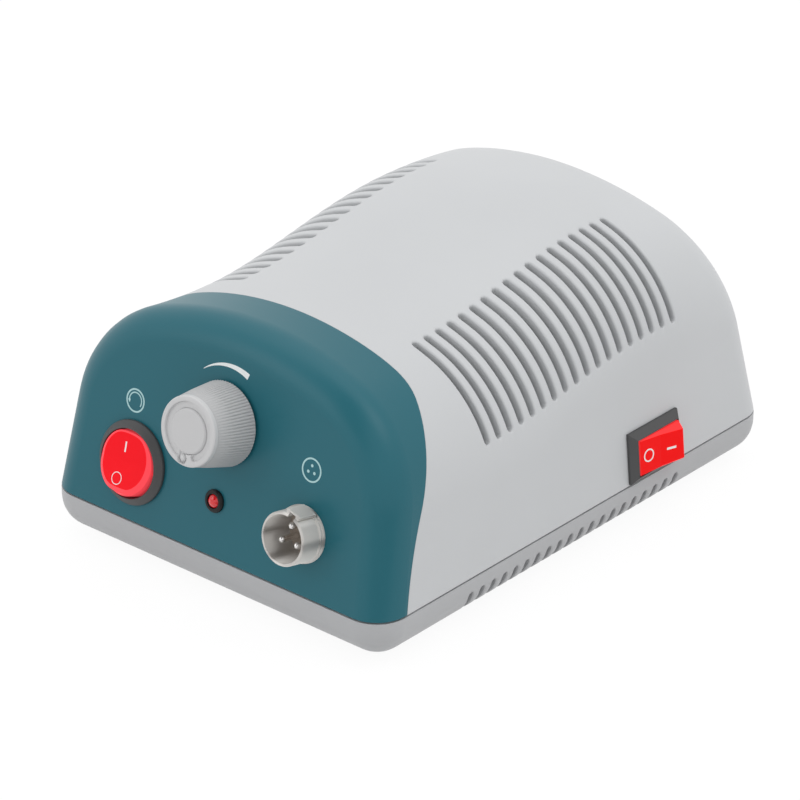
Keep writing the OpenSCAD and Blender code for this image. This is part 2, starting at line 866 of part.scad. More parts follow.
// Transformer: a stacked core with two windows, a wound coil, and a strap frame
// that two screws hold on standoffs
core_x = -26;
core_y = 14;
core_w = 57;
core_h = 47.5;
core_t = 24;
limb = 9.5;
strap_t = 1.2;
core_z = floor_z + 1.5;
core_base = core_z + strap_t;
coil_out = 9;
coil_round = 4;
coil_gap = 0.2;
frame_screw_r = 1.6;
frame_screw_z = floor_z + 1;
frame_head_r = 3;
frame_head_h = 2;
ear_in = 4.8;
ear_out = 5;
frame_hole = core_w / 2 + strap_t + ear_in;
standoff_r = 3;
module at_core()
    translate([core_x, core_y, 0])
        children();
module core_windows(gap) {
    bottom = core_base + limb + gap;
    top = core_base + core_h - limb - gap;
    for (s = [-1, 1])
        translate([0, s * limb, 0])
            block(core_t + 2 * (coil_out + past), limb - 2 * gap, bottom, top);
}
module transformer_core()
    color("slategray")
        at_core()
            difference() {
                block(core_t, core_w, core_base, core_base + core_h);
                core_windows(0);
            }
module transformer_coil()
    color("peru")
        at_core()
            difference() {
                intersection() {
                    union() {
                        core_windows(coil_gap);
                        translate([0, 0, core_base + limb + coil_gap])
                            linear_extrude(core_h - 2 * (limb + coil_gap))
                                difference() {
                                    coil_outline();
                                    square([core_t, core_w], center = true);
                                }
                    }
                    translate([0, 0, core_base]) linear_extrude(core_h) coil_outline();
                }
                block(core_t, limb + 2 * joined, core_base, core_base + core_h);
            }
module coil_outline() soft_rect(core_t + 2 * coil_out, 4 * limb - 2 * coil_gap, coil_round);
module transformer_frame()
    color("silver")
        at_core()
            difference() {
                ear = frame_hole + ear_out;
                side = core_w / 2 + strap_t;
                top = core_base + core_h + strap_t;
                along_x(core_t - 2)
                    polygon([
                        [-ear, core_z], [ear, core_z], [ear, core_base], [side, core_base],
                        [side, top], [-side, top], [-side, core_base], [-ear, core_base]
                    ]);
                block(core_t + past, core_w, core_base, core_base + core_h);
                fore_and_aft(frame_hole) pin(frame_screw_r + loose, 0, core_base + past);
            }
module transformer_screws()
    color("silver")
        at_core()
            fore_and_aft(frame_hole) {
                pin(frame_screw_r, frame_screw_z, core_base);
                pin(frame_head_r, core_base, core_base + frame_head_h);
            }

// Circuit board on four standoffs, with its screws
board_x = 25;
board_y = -4;
board_w = 50;
board_d = 84;
board_t = 1.6;
board_margin = 4;
board_hole = [board_w / 2 - board_margin, board_d / 2 - board_margin];
board_z = floor_z + 5;
board_top = board_z + board_t;
board_screw_r = 1.25;
board_screw_l = 4;
board_head_r = 2.5;
board_head_h = 1.6;
module at_board()
    translate([board_x, board_y, 0])
        children();
module circuit_board()
    color("seagreen")
        at_board()
            difference() {
                block(board_w, board_d, board_z, board_top);
                four(board_hole) pin(board_screw_r + loose, 0, board_top + past);
            }
module board_screws()
    color("silver")
        at_board()
            four(board_hole) {
                pin(board_screw_r, board_z - board_screw_l, board_top);
                pin(board_head_r, board_top, board_top + board_head_h);
            }

// Parts on the board: two large cans and a small one, a finned heat sink with
// the power transistor on its front, and a header for the panel's wires
large_can_r = 8;
large_can_h = 26;
small_can_r = 5;
small_can_h = 14;
can_x = -board_w / 2 + 10;
module can(x, y, r, h)
    translate([x, y, 0])
        pin(r, board_top, board_top + h);
module capacitors()
    color("midnightblue")
        at_board() {
            can(can_x, -board_d / 2 + 2 * large_can_r, large_can_r, large_can_h);
            can(can_x, -board_d / 2 + 4.4 * large_can_r, large_can_r, large_can_h);
            can(can_x + 2 * large_can_r, -board_d / 2 + 4 * large_can_r, small_can_r, small_can_h);
        }
sink_x = -board_w / 2 + 18;
sink_y = board_d / 6;
sink_w = 36;
sink_t = 3;
sink_h = 30;
fin_count = 9;
fin_t = 1.6;
fin_l = 11;
module at_sink()
    at_board()
        translate([sink_x, sink_y, board_top])
            children();
module heatsink()
    color("silver")
        at_sink()
            linear_extrude(sink_h) {
                square([sink_w, sink_t], center = true);
                for (i = [0:fin_count - 1])
                    translate([-sink_w / 2 + i * (sink_w - fin_t) / (fin_count - 1), 0])
                        square([fin_t, fin_l]);
            }
chip = [10, 4.5, 15];
chip_lead = [0.8, 0.6, 8];
chip_pitch = 2.54;
module power_transistor()
    color("black")
        at_sink() {
            back = -sink_t / 2;
            translate([-chip[0] / 2, back - chip[1], chip_lead[2]]) cube(chip);
            for (i = [-1:1])
                translate([i * chip_pitch - chip_lead[0] / 2, back - (chip[1] + chip_lead[1]) / 2, 0])
                    cube(chip_lead);
        }
header_x = board_w / 2 - 12;
header_y = -board_d / 2 + 12;
header = [18, 8, 3];
header_wall = [18, 1.6, 10];
header_pins = 5;
header_pitch = 3.96;
header_pin_w = 1.2;
header_pin_top = 9;
module board_header()
    color("ivory")
        at_board()
            translate([header_x, header_y, board_top]) {
                translate([-header[0] / 2, -header[1] / 2, 0]) cube(header);
                translate([-header[0] / 2, header[1] / 2 - header_wall[1], 0]) cube(header_wall);
                for (i = [0:header_pins - 1])
                    translate([(i - (header_pins - 1) / 2) * header_pitch, -header_pin_w / 2, 0])
                        block(header_pin_w, header_pin_w, 0, header_pin_top);
            }

// Mains inlet at the rear: a flanged housing with a deep cavity, whose two upper
// corners are cut off, and three flat pins with tabs behind
inlet_x = -24;
inlet_up = 24;
inlet_hole_w = 27.4;
inlet_hole_h = 20;
inlet_flange = [inlet_hole_w + 3.6, inlet_hole_h + 4];
inlet_flange_t = 2;
inlet_flange_r = 2;
inlet_w = 24.4;
inlet_h = 16.4;
inlet_cut = 4.5;
inlet_deep = 17;
inlet_depth = 18;
inlet_pin = [2, 4];
inlet_pin_x = 7;
inlet_pin_up = 2;
inlet_pin_top = -0.5;
inlet_tab_t = 0.8;
inlet_tab_l = 8;
module inlet_pins_at()
    for (i = [-1:1])
        translate([i * inlet_pin_x, inlet_pin_up * (i == 0 ? 1 : -1), 0])
            children();
module inlet_cavity() {
    x = inlet_w / 2;
    y = inlet_h / 2;
    polygon([
        [-x, -y], [x, -y], [x, y - inlet_cut],
        [x - inlet_cut, y], [-x + inlet_cut, y], [-x, y - inlet_cut]
    ]);
}
module mains_inlet()
    color("black")
        on_rear(inlet_x, inlet_up)
            difference() {
                union() {
                    linear_extrude(inlet_flange_t)
                        soft_rect(inlet_flange[0], inlet_flange[1], inlet_flange_r);
                    block(inlet_hole_w - 4 * fit, inlet_hole_h - 4 * fit, -inlet_depth, 0);
                }
                translate([0, 0, inlet_flange_t - inlet_deep])
                    linear_extrude(inlet_deep + past)
                        inlet_cavity();
                inlet_pins_at() block(inlet_pin[0], inlet_pin[1], -inlet_depth - past, 0);
            }
module inlet_pins()
    color("silver")
        on_rear(inlet_x, inlet_up)
            inlet_pins_at() {
                block(inlet_pin[0], inlet_pin[1], -inlet_depth, inlet_pin_top);
                block(inlet_tab_t, inlet_pin[1], -inlet_depth - inlet_tab_l, -inlet_depth + past);
            }

// Fuse holder beside it: a body through the wall, a nut, a slotted cap and the
// fuse link inside
fuse_x = 8;
fuse_r = 6.2;
fuse_flange_r = 7.6;
fuse_flange_t = 2;
fuse_l = 26;
fuse_bore = 4.6;
fuse_end_t = 2;
fuse_plug_l = 6;
fuse_cap_top = 7;
fuse_slot_w = 1.2;
fuse_slot_h = 1.5;
fuse_nut_across = 16;
fuse_nut_h = 3;
fuse_link_r = 2.5;
module fuse_holder()
    color("black")
        on_rear(fuse_x, inlet_up)
            difference() {
                union() {
                    pin(fuse_r, -fuse_l, 0);
                    pin(fuse_flange_r, 0, fuse_flange_t);
                }
                pin(fuse_bore, -fuse_l + fuse_end_t, fuse_flange_t + past);
            }
module fuse_cap()
    color("black")
        on_rear(fuse_x, inlet_up)
            difference() {
                union() {
                    pin(fuse_bore, -fuse_plug_l, fuse_flange_t);
                    pin(fuse_r, fuse_flange_t, fuse_cap_top);
                }
                block(1.6 * fuse_r, fuse_slot_w, fuse_cap_top - fuse_slot_h, fuse_cap_top + past);
            }
module fuse_nut()
    color("silver")
        on_rear(fuse_x, inlet_up)
            difference() {
                hexagon(fuse_nut_across, -wall - fuse_nut_h, fuse_nut_h);
                pin(fuse_r, -wall - fuse_nut_h - past, 0);
            }
module fuse_link()
    color("silver")
        on_rear(fuse_x, inlet_up)
            pin(fuse_link_r, -fuse_l + fuse_end_t, -fuse_plug_l);

// The whole object is moved so that its box is centred over the origin: its ends
// are the raised end of the side button, the knob's face and the fuse cap
button_out = 2;
out_x = half_w + side_bezel_t + button_out;
out_front = half_d - (knob_up - knob_r) * lean_sin + knob_h * lean_cos;
out_rear = half_d - (inlet_up - fuse_r) * lean_sin + fuse_cap_top * lean_cos;
module place()
    translate([-(out_x - half_w) / 2, (out_front - out_rear) / 2, 0])
        children();

place() tray();
place() rubber_feet();
place() case_screws();
place() main_cover();
place() front_panel();
place() mode_switch_body();
place() mode_switch_terminals();
place() mode_button();
place() power_switch_body();
place() power_switch_terminals();
place() power_button();
place() speed_knob();
place() knob_cap();
place() pot_shaft();
place() pot_bushing();
place() pot_washer();
place() pot_nut();
place() pot_body();
place() pot_terminals();
place() led_bezel();
place() led_lamp();
place() socket_shell();
place() socket_insert();
place() socket_pins();
place() socket_nut();
place() transformer_core();
place() transformer_coil();
place() transformer_frame();
place() transformer_screws();
place() circuit_board();
place() board_screws();
place() capacitors();
place() heatsink();
place() power_transistor();
place() board_header();
place() mains_inlet();
place() inlet_pins();
place() fuse_holder();
place() fuse_cap();
place() fuse_nut();
place() fuse_link();
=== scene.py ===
# The look of a laboratory micromotor's control box: a grey tray, a pale moulded
# cover with an arched crown, and a teal control panel with a knob, two rocker
# switches, a pilot lamp and a round motor socket. Lengths are in millimetres in
# the box's own frame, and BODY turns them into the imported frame's metres.
import math

import bpy
import numpy as np
from mathutils import Matrix, Vector


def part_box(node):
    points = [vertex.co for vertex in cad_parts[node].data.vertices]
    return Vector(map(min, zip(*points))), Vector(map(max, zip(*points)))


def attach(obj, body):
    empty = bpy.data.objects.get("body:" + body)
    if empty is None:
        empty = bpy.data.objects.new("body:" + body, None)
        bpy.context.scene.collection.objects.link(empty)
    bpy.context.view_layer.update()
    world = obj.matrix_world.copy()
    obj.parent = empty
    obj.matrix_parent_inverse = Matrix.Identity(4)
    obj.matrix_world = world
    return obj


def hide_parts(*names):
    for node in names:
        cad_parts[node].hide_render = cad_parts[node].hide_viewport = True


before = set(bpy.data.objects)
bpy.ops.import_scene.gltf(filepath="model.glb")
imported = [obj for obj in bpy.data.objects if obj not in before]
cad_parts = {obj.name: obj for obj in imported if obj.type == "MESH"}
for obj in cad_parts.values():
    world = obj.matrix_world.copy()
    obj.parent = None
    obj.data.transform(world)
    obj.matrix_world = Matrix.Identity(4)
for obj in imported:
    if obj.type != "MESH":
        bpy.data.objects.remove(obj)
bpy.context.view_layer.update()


# Camera, white table and soft light
# The box stands on a white table in a white tent. The camera looks down on its
# front right corner from about a metre away, through a long lens.
def placed(name, data):
    """A new object in the scene, made of the given data."""
    made = bpy.data.objects.new(name, data)
    bpy.context.scene.collection.objects.link(made)
    return made


look_down, look_aside = 27.11, 40.94
camera_data = bpy.data.cameras.new("view")
camera_data.sensor_width = 36.0
camera_data.lens = 177.1
camera_data.clip_end = 20.0
camera = placed("view", camera_data)
camera.location = (0.62443, -0.72552, 0.52004)
camera.rotation_euler = (math.radians(90 - look_down), 0.0, math.radians(look_aside))
bpy.context.scene.camera = camera
bpy.context.scene.view_settings.view_transform = "Standard"


def feed(node, inputs):
    """Sets a node's inputs, each to a value or to the output that feeds it."""
    for socket, value in inputs.items():
        if isinstance(value, bpy.types.NodeSocket):
            node.id_data.links.new(value, node.inputs[socket])
        else:
            node.inputs[socket].default_value = value
    return node


def add_node(tree, kind, inputs=None, **settings):
    """A new node of a tree, with its settings and then its inputs."""
    made = tree.nodes.new(kind)
    for name, value in settings.items():
        setattr(made, name, value)
    return feed(made, inputs or {})


def shader_of(material):
    return material.node_tree.nodes["Principled BSDF"]


def seen_directly(tree):
    """1 for rays from the camera, off a gloss or through glass, and else 0."""
    rays = add_node(tree, "ShaderNodeLightPath").outputs
    either = add_node(tree, "ShaderNodeMath", {0: rays["Is Camera Ray"], 1: rays["Is Glossy Ray"]},
                      operation="MAXIMUM")
    any_of = add_node(tree, "ShaderNodeMath", {0: either.outputs[0], 1: rays["Is Transmission Ray"]},
                      operation="MAXIMUM")
    return any_of.outputs[0]


white = (1, 1, 1, 1)
tent_light = 0.835
world = bpy.data.worlds.new("tent")
bpy.context.scene.world = world
world.use_nodes = True
tree = world.node_tree
tree.nodes.clear()
lighting = add_node(tree, "ShaderNodeBackground", {"Color": white, "Strength": tent_light})
shown = add_node(tree, "ShaderNodeBackground", {"Color": white, "Strength": 1.0})
mix = add_node(tree, "ShaderNodeMixShader", {
    "Fac": seen_directly(tree), 1: lighting.outputs[0], 2: shown.outputs[0]})
add_node(tree, "ShaderNodeOutputWorld", {"Surface": mix.outputs[0]})


def sheet(name, x0, x1, edge, other_edge, finish):
    """A flat sheet of the stage, between two edges at their (y, z), in metres."""
    mesh = bpy.data.meshes.new(name)
    corners = [(x0, *edge), (x1, *edge), (x1, *other_edge), (x0, *other_edge)]
    mesh.from_pydata(corners, [], [(0, 1, 2, 3)])
    mesh.materials.append(finish)
    made = placed(name, mesh)
    return made


table_size = 3.0
table_tone, table_glow, glow_strength = 0.72, 0.88, 1.06
table_paper = bpy.data.materials.new("table_paper")
table_paper.use_nodes = True
tree = table_paper.node_tree
tree.nodes.clear()
paper = add_node(tree, "ShaderNodeBsdfDiffuse", {"Color": (table_tone, table_tone, table_tone, 1)})
glow = add_node(tree, "ShaderNodeEmission", {"Strength": glow_strength})
share = add_node(tree, "ShaderNodeMath", {0: seen_directly(tree), 1: table_glow}, operation="MULTIPLY")
mix = add_node(tree, "ShaderNodeMixShader", {
    "Fac": share.outputs[0], 1: paper.outputs[0], 2: glow.outputs[0]})
add_node(tree, "ShaderNodeOutputMaterial", {"Surface": mix.outputs[0]})
sheet("table", -table_size, table_size, (-table_size, 0), (table_size, 0), table_paper)


def softbox(name, place, aim, width, height, power):
    """A rectangular lamp at place, turned to aim, both in metres."""
    lamp = bpy.data.lights.new(name, "AREA")
    lamp.shape = "RECTANGLE"
    lamp.size, lamp.size_y = width, height
    lamp.energy = power
    holder = placed(name, lamp)
    holder.location = place
    holder.rotation_euler = (Vector(aim) - Vector(place)).to_track_quat("-Z", "Y").to_euler()


softbox("top_box", (-0.25, 0.15, 1.1), (0, 0, 0.05), 0.9, 0.9, 1.2)
softbox("front_box", (-0.7, -1.0, 0.75), (0, -0.05, 0.04), 0.5, 0.7, 1.3)
softbox("right_box", (0.6, 0.2, 1.2), (0, 0, 0.05), 0.6, 0.6, 1.8)

# Two cards of black felt that show only in a gloss, as photographers set them
# round bright metal: one hangs above and one lies on the table to the right.
felt = bpy.data.materials.new("black_felt")
felt.use_nodes = True
feed(shader_of(felt), {"Base Color": (0.01, 0.01, 0.01, 1), "Specular IOR Level": 0.0})
for black in (sheet("upper_card", -0.1, 0.17, (-0.06, 0.5), (-0.55, 0.33), felt),
              sheet("floor_card", 0.075, 0.9, (-0.9, 0.0008), (-0.11, 0.0008), felt)):
    for kind in ("camera", "diffuse", "shadow", "transmission"):
        setattr(black, "visible_" + kind, False)


# Tray
# The lower half of the case, moulded in grey: a shallow tub with ball corners
# and twenty slots that run round each lower edge.
low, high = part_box("tray")
BODY = Matrix.Translation(((low[0] + high[0]) / 2, (low[1] + high[1]) / 2, 0)) @ Matrix.Scale(0.001, 4)
unmoved = Matrix.Identity(4)
half_w, half_d = 60.0, 82.5
wall, corner_r = 2.5, 9.4
seam_z, half_gap = 14.2, 0.25
tray_top, cover_foot = seam_z - half_gap, seam_z + half_gap
foot_h = 2.0
floor_z = foot_h + wall
seam_edge, slot_edge = 0.13, 0.4
slot_pitch, slot_half_w = 4.59, 1.0
across_slot = (-1.0, -0.72, 0.0, 0.72, 1.0)
tray_slot_count, tray_slot_mid = 20, -2.7
tray_slot_top, tray_slot_in = 10.0, 51.6
tray_end_stretch = 1.24
tray_rows_wall, tray_rows_slot, tray_rows_under = 3, 12, 3
corner_steps, short_steps = 8, 8


def shell(outer, inner, faces, fillet):
    """Closed moulding between an outer and an inner skin of the same faces. The
    outer edges of the openings are rounded with a fillet, given for each point."""
    outer, inner = np.array(outer, float), np.array(inner, float)
    normal = np.zeros_like(outer)
    beside = {}
    for f in faces:
        p = outer[list(f)]
        n = sum(np.cross(p[k] - p[0], p[k + 1] - p[0]) for k in range(1, len(f) - 1))
        for k, a in enumerate(f):
            normal[a] += n
            beside[(a, f[(k + 1) % len(f)])] = n
    normal /= np.maximum(np.linalg.norm(normal, axis=1, keepdims=True), 1e-12)
    rim = [(a, b) for (a, b) in beside if (b, a) not in beside]
    aside = np.zeros_like(outer)
    for a, b in rim:
        d = np.cross(outer[b] - outer[a], beside[(a, b)])
        d /= max(np.linalg.norm(d), 1e-12)
        aside[a] += d
        aside[b] += d
    ring = sorted({a for edge in rim for a in edge})
    aside[ring] /= np.maximum(np.linalg.norm(aside[ring], axis=1, keepdims=True), 1e-12)
    spot = {a: k for k, a in enumerate(ring)}
    fillet = np.array(fillet)[ring][:, None]
    skin = outer.copy()
    skin[ring] -= aside[ring] * fillet
    middle = outer[ring] - (aside[ring] + normal[ring]) * (fillet * (1 - math.sqrt(0.5)))
    below = outer[ring] - normal[ring] * fillet
    points = np.concatenate([skin, middle, below, inner])
    m0 = len(outer)
    b0 = m0 + len(ring)
    i0 = b0 + len(ring)
    closed = [tuple(f) for f in faces] + [tuple(i0 + a for a in reversed(f)) for f in faces]
    for a, b in rim:
        closed.append((b, a, m0 + spot[a], m0 + spot[b]))
        closed.append((m0 + spot[b], m0 + spot[a], b0 + spot[a], b0 + spot[b]))
        closed.append((b0 + spot[b], b0 + spot[a], i0 + a, i0 + b))
    used = sorted({v for f in closed for v in f})
    new = {v: k for k, v in enumerate(used)}
    return points[used], [tuple(new[v] for v in f) for f in closed]


def piece(name, part, place, finish=None):
    """An object of the part's points and faces, with its place in its mesh."""
    mesh = bpy.data.meshes.new(name)
    points = np.array(part[0], float) @ np.array(place.to_3x3()).T + np.array(place.translation)
    mesh.from_pydata([tuple(p) for p in points], [], [tuple(int(v) for v in f) for f in part[1]])
    mesh.polygons.foreach_set("use_smooth", [True] * len(mesh.polygons))
    if finish:
        mesh.materials.append(finish)
    mesh.update()
    return placed(name, mesh)


def srgb(colour):
    """Colour as a node takes it, from the three numbers of a picture editor."""
    shares = [c / 255 for c in colour]
    return tuple(c / 12.92 if c <= 0.04045 else ((c + 0.055) / 1.055) ** 2.4 for c in shares) + (1.0,)


def moulded(name, colour, roughness, grain=0.03, mottle=0.02, gloss=0.5):
    """Plastic from a spark-eroded mould: a fine grain and a faint uneven tone."""
    material = bpy.data.materials.new(name)
    material.use_nodes = True
    tree = material.node_tree
    where = add_node(tree, "ShaderNodeTexCoord").outputs["Object"]
    tone = add_node(tree, "ShaderNodeTexNoise", {"Scale": 18.0, "Detail": 3.0, "Vector": where})
    shade = add_node(tree, "ShaderNodeValToRGB", {"Fac": tone.outputs["Fac"]})
    for end, position, share in zip(shade.color_ramp.elements, (0.3, 0.7), (1 - mottle, 1 + mottle)):
        end.position = position
        end.color = tuple(min(1, c * share) for c in srgb(colour)[:3]) + (1,)
    pits = add_node(tree, "ShaderNodeTexNoise", {"Scale": 2600.0, "Detail": 2.0, "Vector": where})
    bump = add_node(tree, "ShaderNodeBump", {
        "Strength": grain, "Distance": 0.0001, "Height": pits.outputs["Fac"]})
    feed(shader_of(material), {
        "Base Color": shade.outputs["Color"], "Normal": bump.outputs["Normal"],
        "Roughness": roughness, "Specular IOR Level": gloss})
    return material


def lathe(profile, loop=False, turns=64):
    """A turned part. The profile of (radius, height) runs outwards below, up, and
    inwards above; with loop it closes on itself round a hole."""
    points, faces, first = [], [], []
    for r, z in profile:
        first.append(len(points))
        angles = [2 * math.pi * k / turns for k in range(1 if r == 0 else turns)]
        points += [(r * math.cos(a), r * math.sin(a), z) for a in angles]

    def spot(i, k):
        return first[i] + (0 if profile[i][0] == 0 else k % turns)

    for i in range(len(profile) - (0 if loop else 1)):
        j = (i + 1) % len(profile)
        for k in range(turns):
            corners = tuple(dict.fromkeys((spot(i, k), spot(i, k + 1), spot(j, k + 1), spot(j, k))))
            if len(corners) > 2:
                faces.append(corners)
    return points, faces


def rounded(profile, ease, loop=False, steps=3):
    """The profile with each corner rounded from ease mm before it to ease mm after it."""
    made = []
    for i, spot in enumerate(profile):
        if not loop and i in (0, len(profile) - 1):
            made.append(spot)
            continue
        p = Vector(spot)
        back, on = Vector(profile[i - 1]) - p, Vector(profile[(i + 1) % len(profile)]) - p
        cut = min(ease, 0.45 * back.length, 0.45 * on.length)
        for k in range(steps + 1):
            t = k / steps
            bend = back.normalized() * cut * (1 - t) ** 2 + on.normalized() * cut * t * t
            made.append(tuple(p + bend))
    return made


def rod(r, z0, z1, ease=0.0, turns=64):
    """A plain cylinder between two heights, with eased rims."""
    profile = [(0, z0), (r, z0), (r, z1), (0, z1)]
    return lathe(rounded(profile, ease) if ease else profile, turns=turns)


def quads(rings, n, loop=False, flip=False):
    """Faces between closed rings of n points each. With loop the last ring joins
    the first, and with flip the faces look the other way."""
    made = [(i * n + k, i * n + (k + 1) % n, (i + 1) % rings * n + (k + 1) % n, (i + 1) % rings * n + k)
            for i in range(rings if loop else rings - 1) for k in range(n)]
    return [(a, d, c, b) for a, b, c, d in made] if flip else made


def arc(r, start, end, steps, cx=0.0, cy=0.0):
    """Points along an arc, from one angle to another, both in degrees."""
    angles = [math.radians(start + (end - start) * k / steps) for k in range(steps + 1)]
    return [(cx + r * math.cos(a), cy + r * math.sin(a)) for a in angles]


def at(x, y, z=0.0):
    return Matrix.Translation((x, y, z))


def moved(part, place):
    return [tuple(place @ Vector(p)) for p in part[0]], part[1]


def together(*parts):
    """Several parts as the points and faces of one."""
    points, faces = [], []
    for some_points, some_faces in parts:
        faces += [tuple(len(points) + v for v in f) for f in some_faces]
        points += [tuple(p) for p in some_points]
    return points, faces


def modify(made, name, kind, **settings):
    """A modifier on the piece, with its settings."""
    modifier = made.modifiers.new(name, kind)
    for setting, value in settings.items():
        setattr(modifier, setting, value)


def settled(made):
    """The plain mesh that the piece and its modifiers make."""
    return bpy.data.meshes.new_from_object(made.evaluated_get(bpy.context.evaluated_depsgraph_get()))


def bored(made, *cutters):
    """The piece with openings cut out of it; a cutter is a part and its place."""
    tool = piece("cutter", together(*[moved(part, place) for part, place in cutters]), unmoved)
    modify(made, "openings", "BOOLEAN", operation="DIFFERENCE", solver="MANIFOLD", object=tool)
    mesh = settled(made)
    mesh.name = made.name
    made.modifiers.clear()
    made.data = mesh
    bpy.data.objects.remove(tool)
    return made


def as_part(made):
    """The points and faces of a piece, which goes."""
    part = [tuple(v.co) for v in made.data.vertices], [tuple(p.vertices) for p in made.data.polygons]
    bpy.data.objects.remove(made)
    return part


def fitted(made, body, slot, *nodes, sharp_from=40):
    """The piece shades evenly, moves with its body and stands for its nodes."""
    made.data.set_sharp_from_angle(angle=math.radians(sharp_from))
    modify(made, "even_shading", "WEIGHTED_NORMAL", keep_sharp=True)
    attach(made, body)
    if nodes:
        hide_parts(*nodes)


def tray_column(foot, outwards, inset, end_back):
    """Points from the tray's rim down the wall, round the lower edge and under it."""
    r = corner_r - inset
    middle_z = foot_h + corner_r
    top_a = math.asin((middle_z - tray_slot_top) / corner_r) + end_back / corner_r
    low_a = math.acos((tray_slot_in - half_w + corner_r) / corner_r) - end_back / corner_r
    angles = np.concatenate([
        np.zeros(1),
        np.linspace(0, top_a, tray_rows_wall),
        np.linspace(top_a, low_a, tray_rows_slot + 1)[1:],
        np.linspace(low_a, math.pi / 2, tray_rows_under)[1:]])
    reach = r * np.cos(angles)
    z = middle_z - r * np.sin(angles)
    z[0] = tray_top
    return np.stack([foot[0] + outwards[0] * reach, foot[1] + outwards[1] * reach, z], 1)


def slots_along(middle, count):
    """Depths of the slots of a row."""
    return [middle + slot_pitch * (i - (count - 1) / 2) for i in range(count)]


def end_back(across, stretch):
    """How far a slot's round end is set back at a share of the slot's half width."""
    return stretch * (1 - math.sqrt(1 - across * across))


def tray_ring(inset):
    """Columns round the tray, counter-clockwise from the right wall's front end. With
    each stands whether a slot lies between it and the next."""
    cx, cy = half_w - corner_r, half_d - corner_r
    made = []

    def stand(x, y, outwards, back=tray_end_stretch, slotted=False):
        made.append((tray_column((x, y), outwards, inset, back), slotted))

    def corner(x, y, start):
        for outwards in arc(1, start, start + 90, corner_steps):
            stand(x, y, outwards)

    def long_side(x, sign):
        ys = slots_along(tray_slot_mid, tray_slot_count)[::sign]
        stand(x, ys[0] - sign * slot_pitch / 2, (sign, 0))
        for y in ys:
            for d in across_slot:
                stand(x, y + sign * d * slot_half_w, (sign, 0), end_back(d, tray_end_stretch), d < 1)
            stand(x, y + sign * slot_pitch / 2, (sign, 0))

    def short_side(y, sign):
        for i in range(1, short_steps):
            stand(sign * -cx + sign * 2 * cx * i / short_steps, y, (0, -sign))

    long_side(cx, 1)
    corner(cx, cy, 0)
    short_side(cy, -1)
    corner(-cx, cy, 90)
    long_side(-cx, -1)
    corner(-cx, -cy, 180)
    short_side(-cy, 1)
    corner(cx, -cy, 270)
    return made


outer_ring, inner_ring = tray_ring(0.0), tray_ring(wall)
tray_rows, tray_count = len(outer_ring[0][0]), len(outer_ring)
tray_faces = []
for i in range(tray_count):
    for j in range(tray_rows - 1):
        opened = outer_ring[i][1] and tray_rows_wall <= j < tray_rows_wall + tray_rows_slot
        if not opened:
            a, b = i * tray_rows + j, (i + 1) % tray_count * tray_rows + j
            tray_faces.append((b, a, a + 1, b + 1))
tray_faces.append(tuple(i * tray_rows + tray_rows - 1 for i in reversed(range(tray_count))))
tray_skin = shell(
    np.concatenate([c for c, _ in outer_ring]), np.concatenate([c for c, _ in inner_ring]), tray_faces,
    [slot_edge if i % tray_rows else seam_edge for i in range(tray_count * tray_rows)])


def around(inset):
    """Outline of the case at the seam, moved inwards by inset."""
    x, y = half_w - corner_r, half_d - corner_r
    quarters = ((x, y, 0), (-x, y, 90), (-x, -y, 180), (x, -y, 270))
    return [p for cx, cy, start in quarters for p in arc(corner_r - inset, start, start + 90, 9, cx, cy)]


def band(outer, inner, z0, z1):
    """A closed wall between an outer and an inner outline."""
    levels = ((outer, z0), (outer, z1), (inner, z1), (inner, z0))
    return [(x, y, z) for line, z in levels for x, y in line], quads(4, len(outer), loop=True)


four = [(sx, sy) for sx in (-1, 1) for sy in (-1, 1)]
sunk = 0.1
lip_wall, lip_low = 1.2, 2.0
lip = band(around(wall - lip_wall), around(wall + sunk / 2), tray_top - lip_low, cover_foot)
post_at, post_r, screw_hole_r = (half_w - 14.5, half_d - 29.5), 4.0, 1.8
post_places = [(sx * post_at[0], sy * post_at[1]) for sx, sy in four]
recess_r, recess_top = 3.1, 6.0
post = lathe([(recess_r, floor_z - sunk), (post_r, floor_z - sunk), (post_r, cover_foot),
              (screw_hole_r, cover_foot), (screw_hole_r, recess_top), (recess_r, recess_top)],
             loop=True, turns=48)
board_at, board_hole, board_z = (25.0, -4.0), (21.0, 38.0), 9.5
strap_at, strap_hole, strap_z = (-26.0, 14.0), 34.5, 6.0
standoff_r = 3.0
standoff_tops = [(board_at[0] + sx * board_hole[0], board_at[1] + sy * board_hole[1], board_z)
                 for sx, sy in four]
standoff_tops += [(strap_at[0], strap_at[1] + s * strap_hole, strap_z) for s in (-1, 1)]
standoffs = [moved(rod(standoff_r, floor_z - sunk, z, turns=32), at(x, y)) for x, y, z in standoff_tops]
foot_at = (half_w - 15, half_d - 15.5)
foot_r, foot_sink, foot_play = 6.0, 1.0, 0.05
recess = rod(recess_r, 0, floor_z + 0.5, turns=48)
seat = rod(foot_r + foot_play, 0, foot_h + foot_sink)
tub = bored(piece("tray_tub", tray_skin, BODY),
            *[(recess, BODY @ at(x, y)) for x, y in post_places],
            *[(seat, BODY @ at(sx * foot_at[0], sy * foot_at[1])) for sx, sy in four])
tray_parts = [moved(as_part(tub), BODY.inverted()), lip, *[moved(post, at(x, y)) for x, y in post_places]]
tray = piece("tray_moulding", together(*tray_parts, *standoffs), BODY,
             moulded("tray_grey", (184, 185, 187), 0.42))
fitted(tray, "housing", "tray_grey", "tray", sharp_from=50)


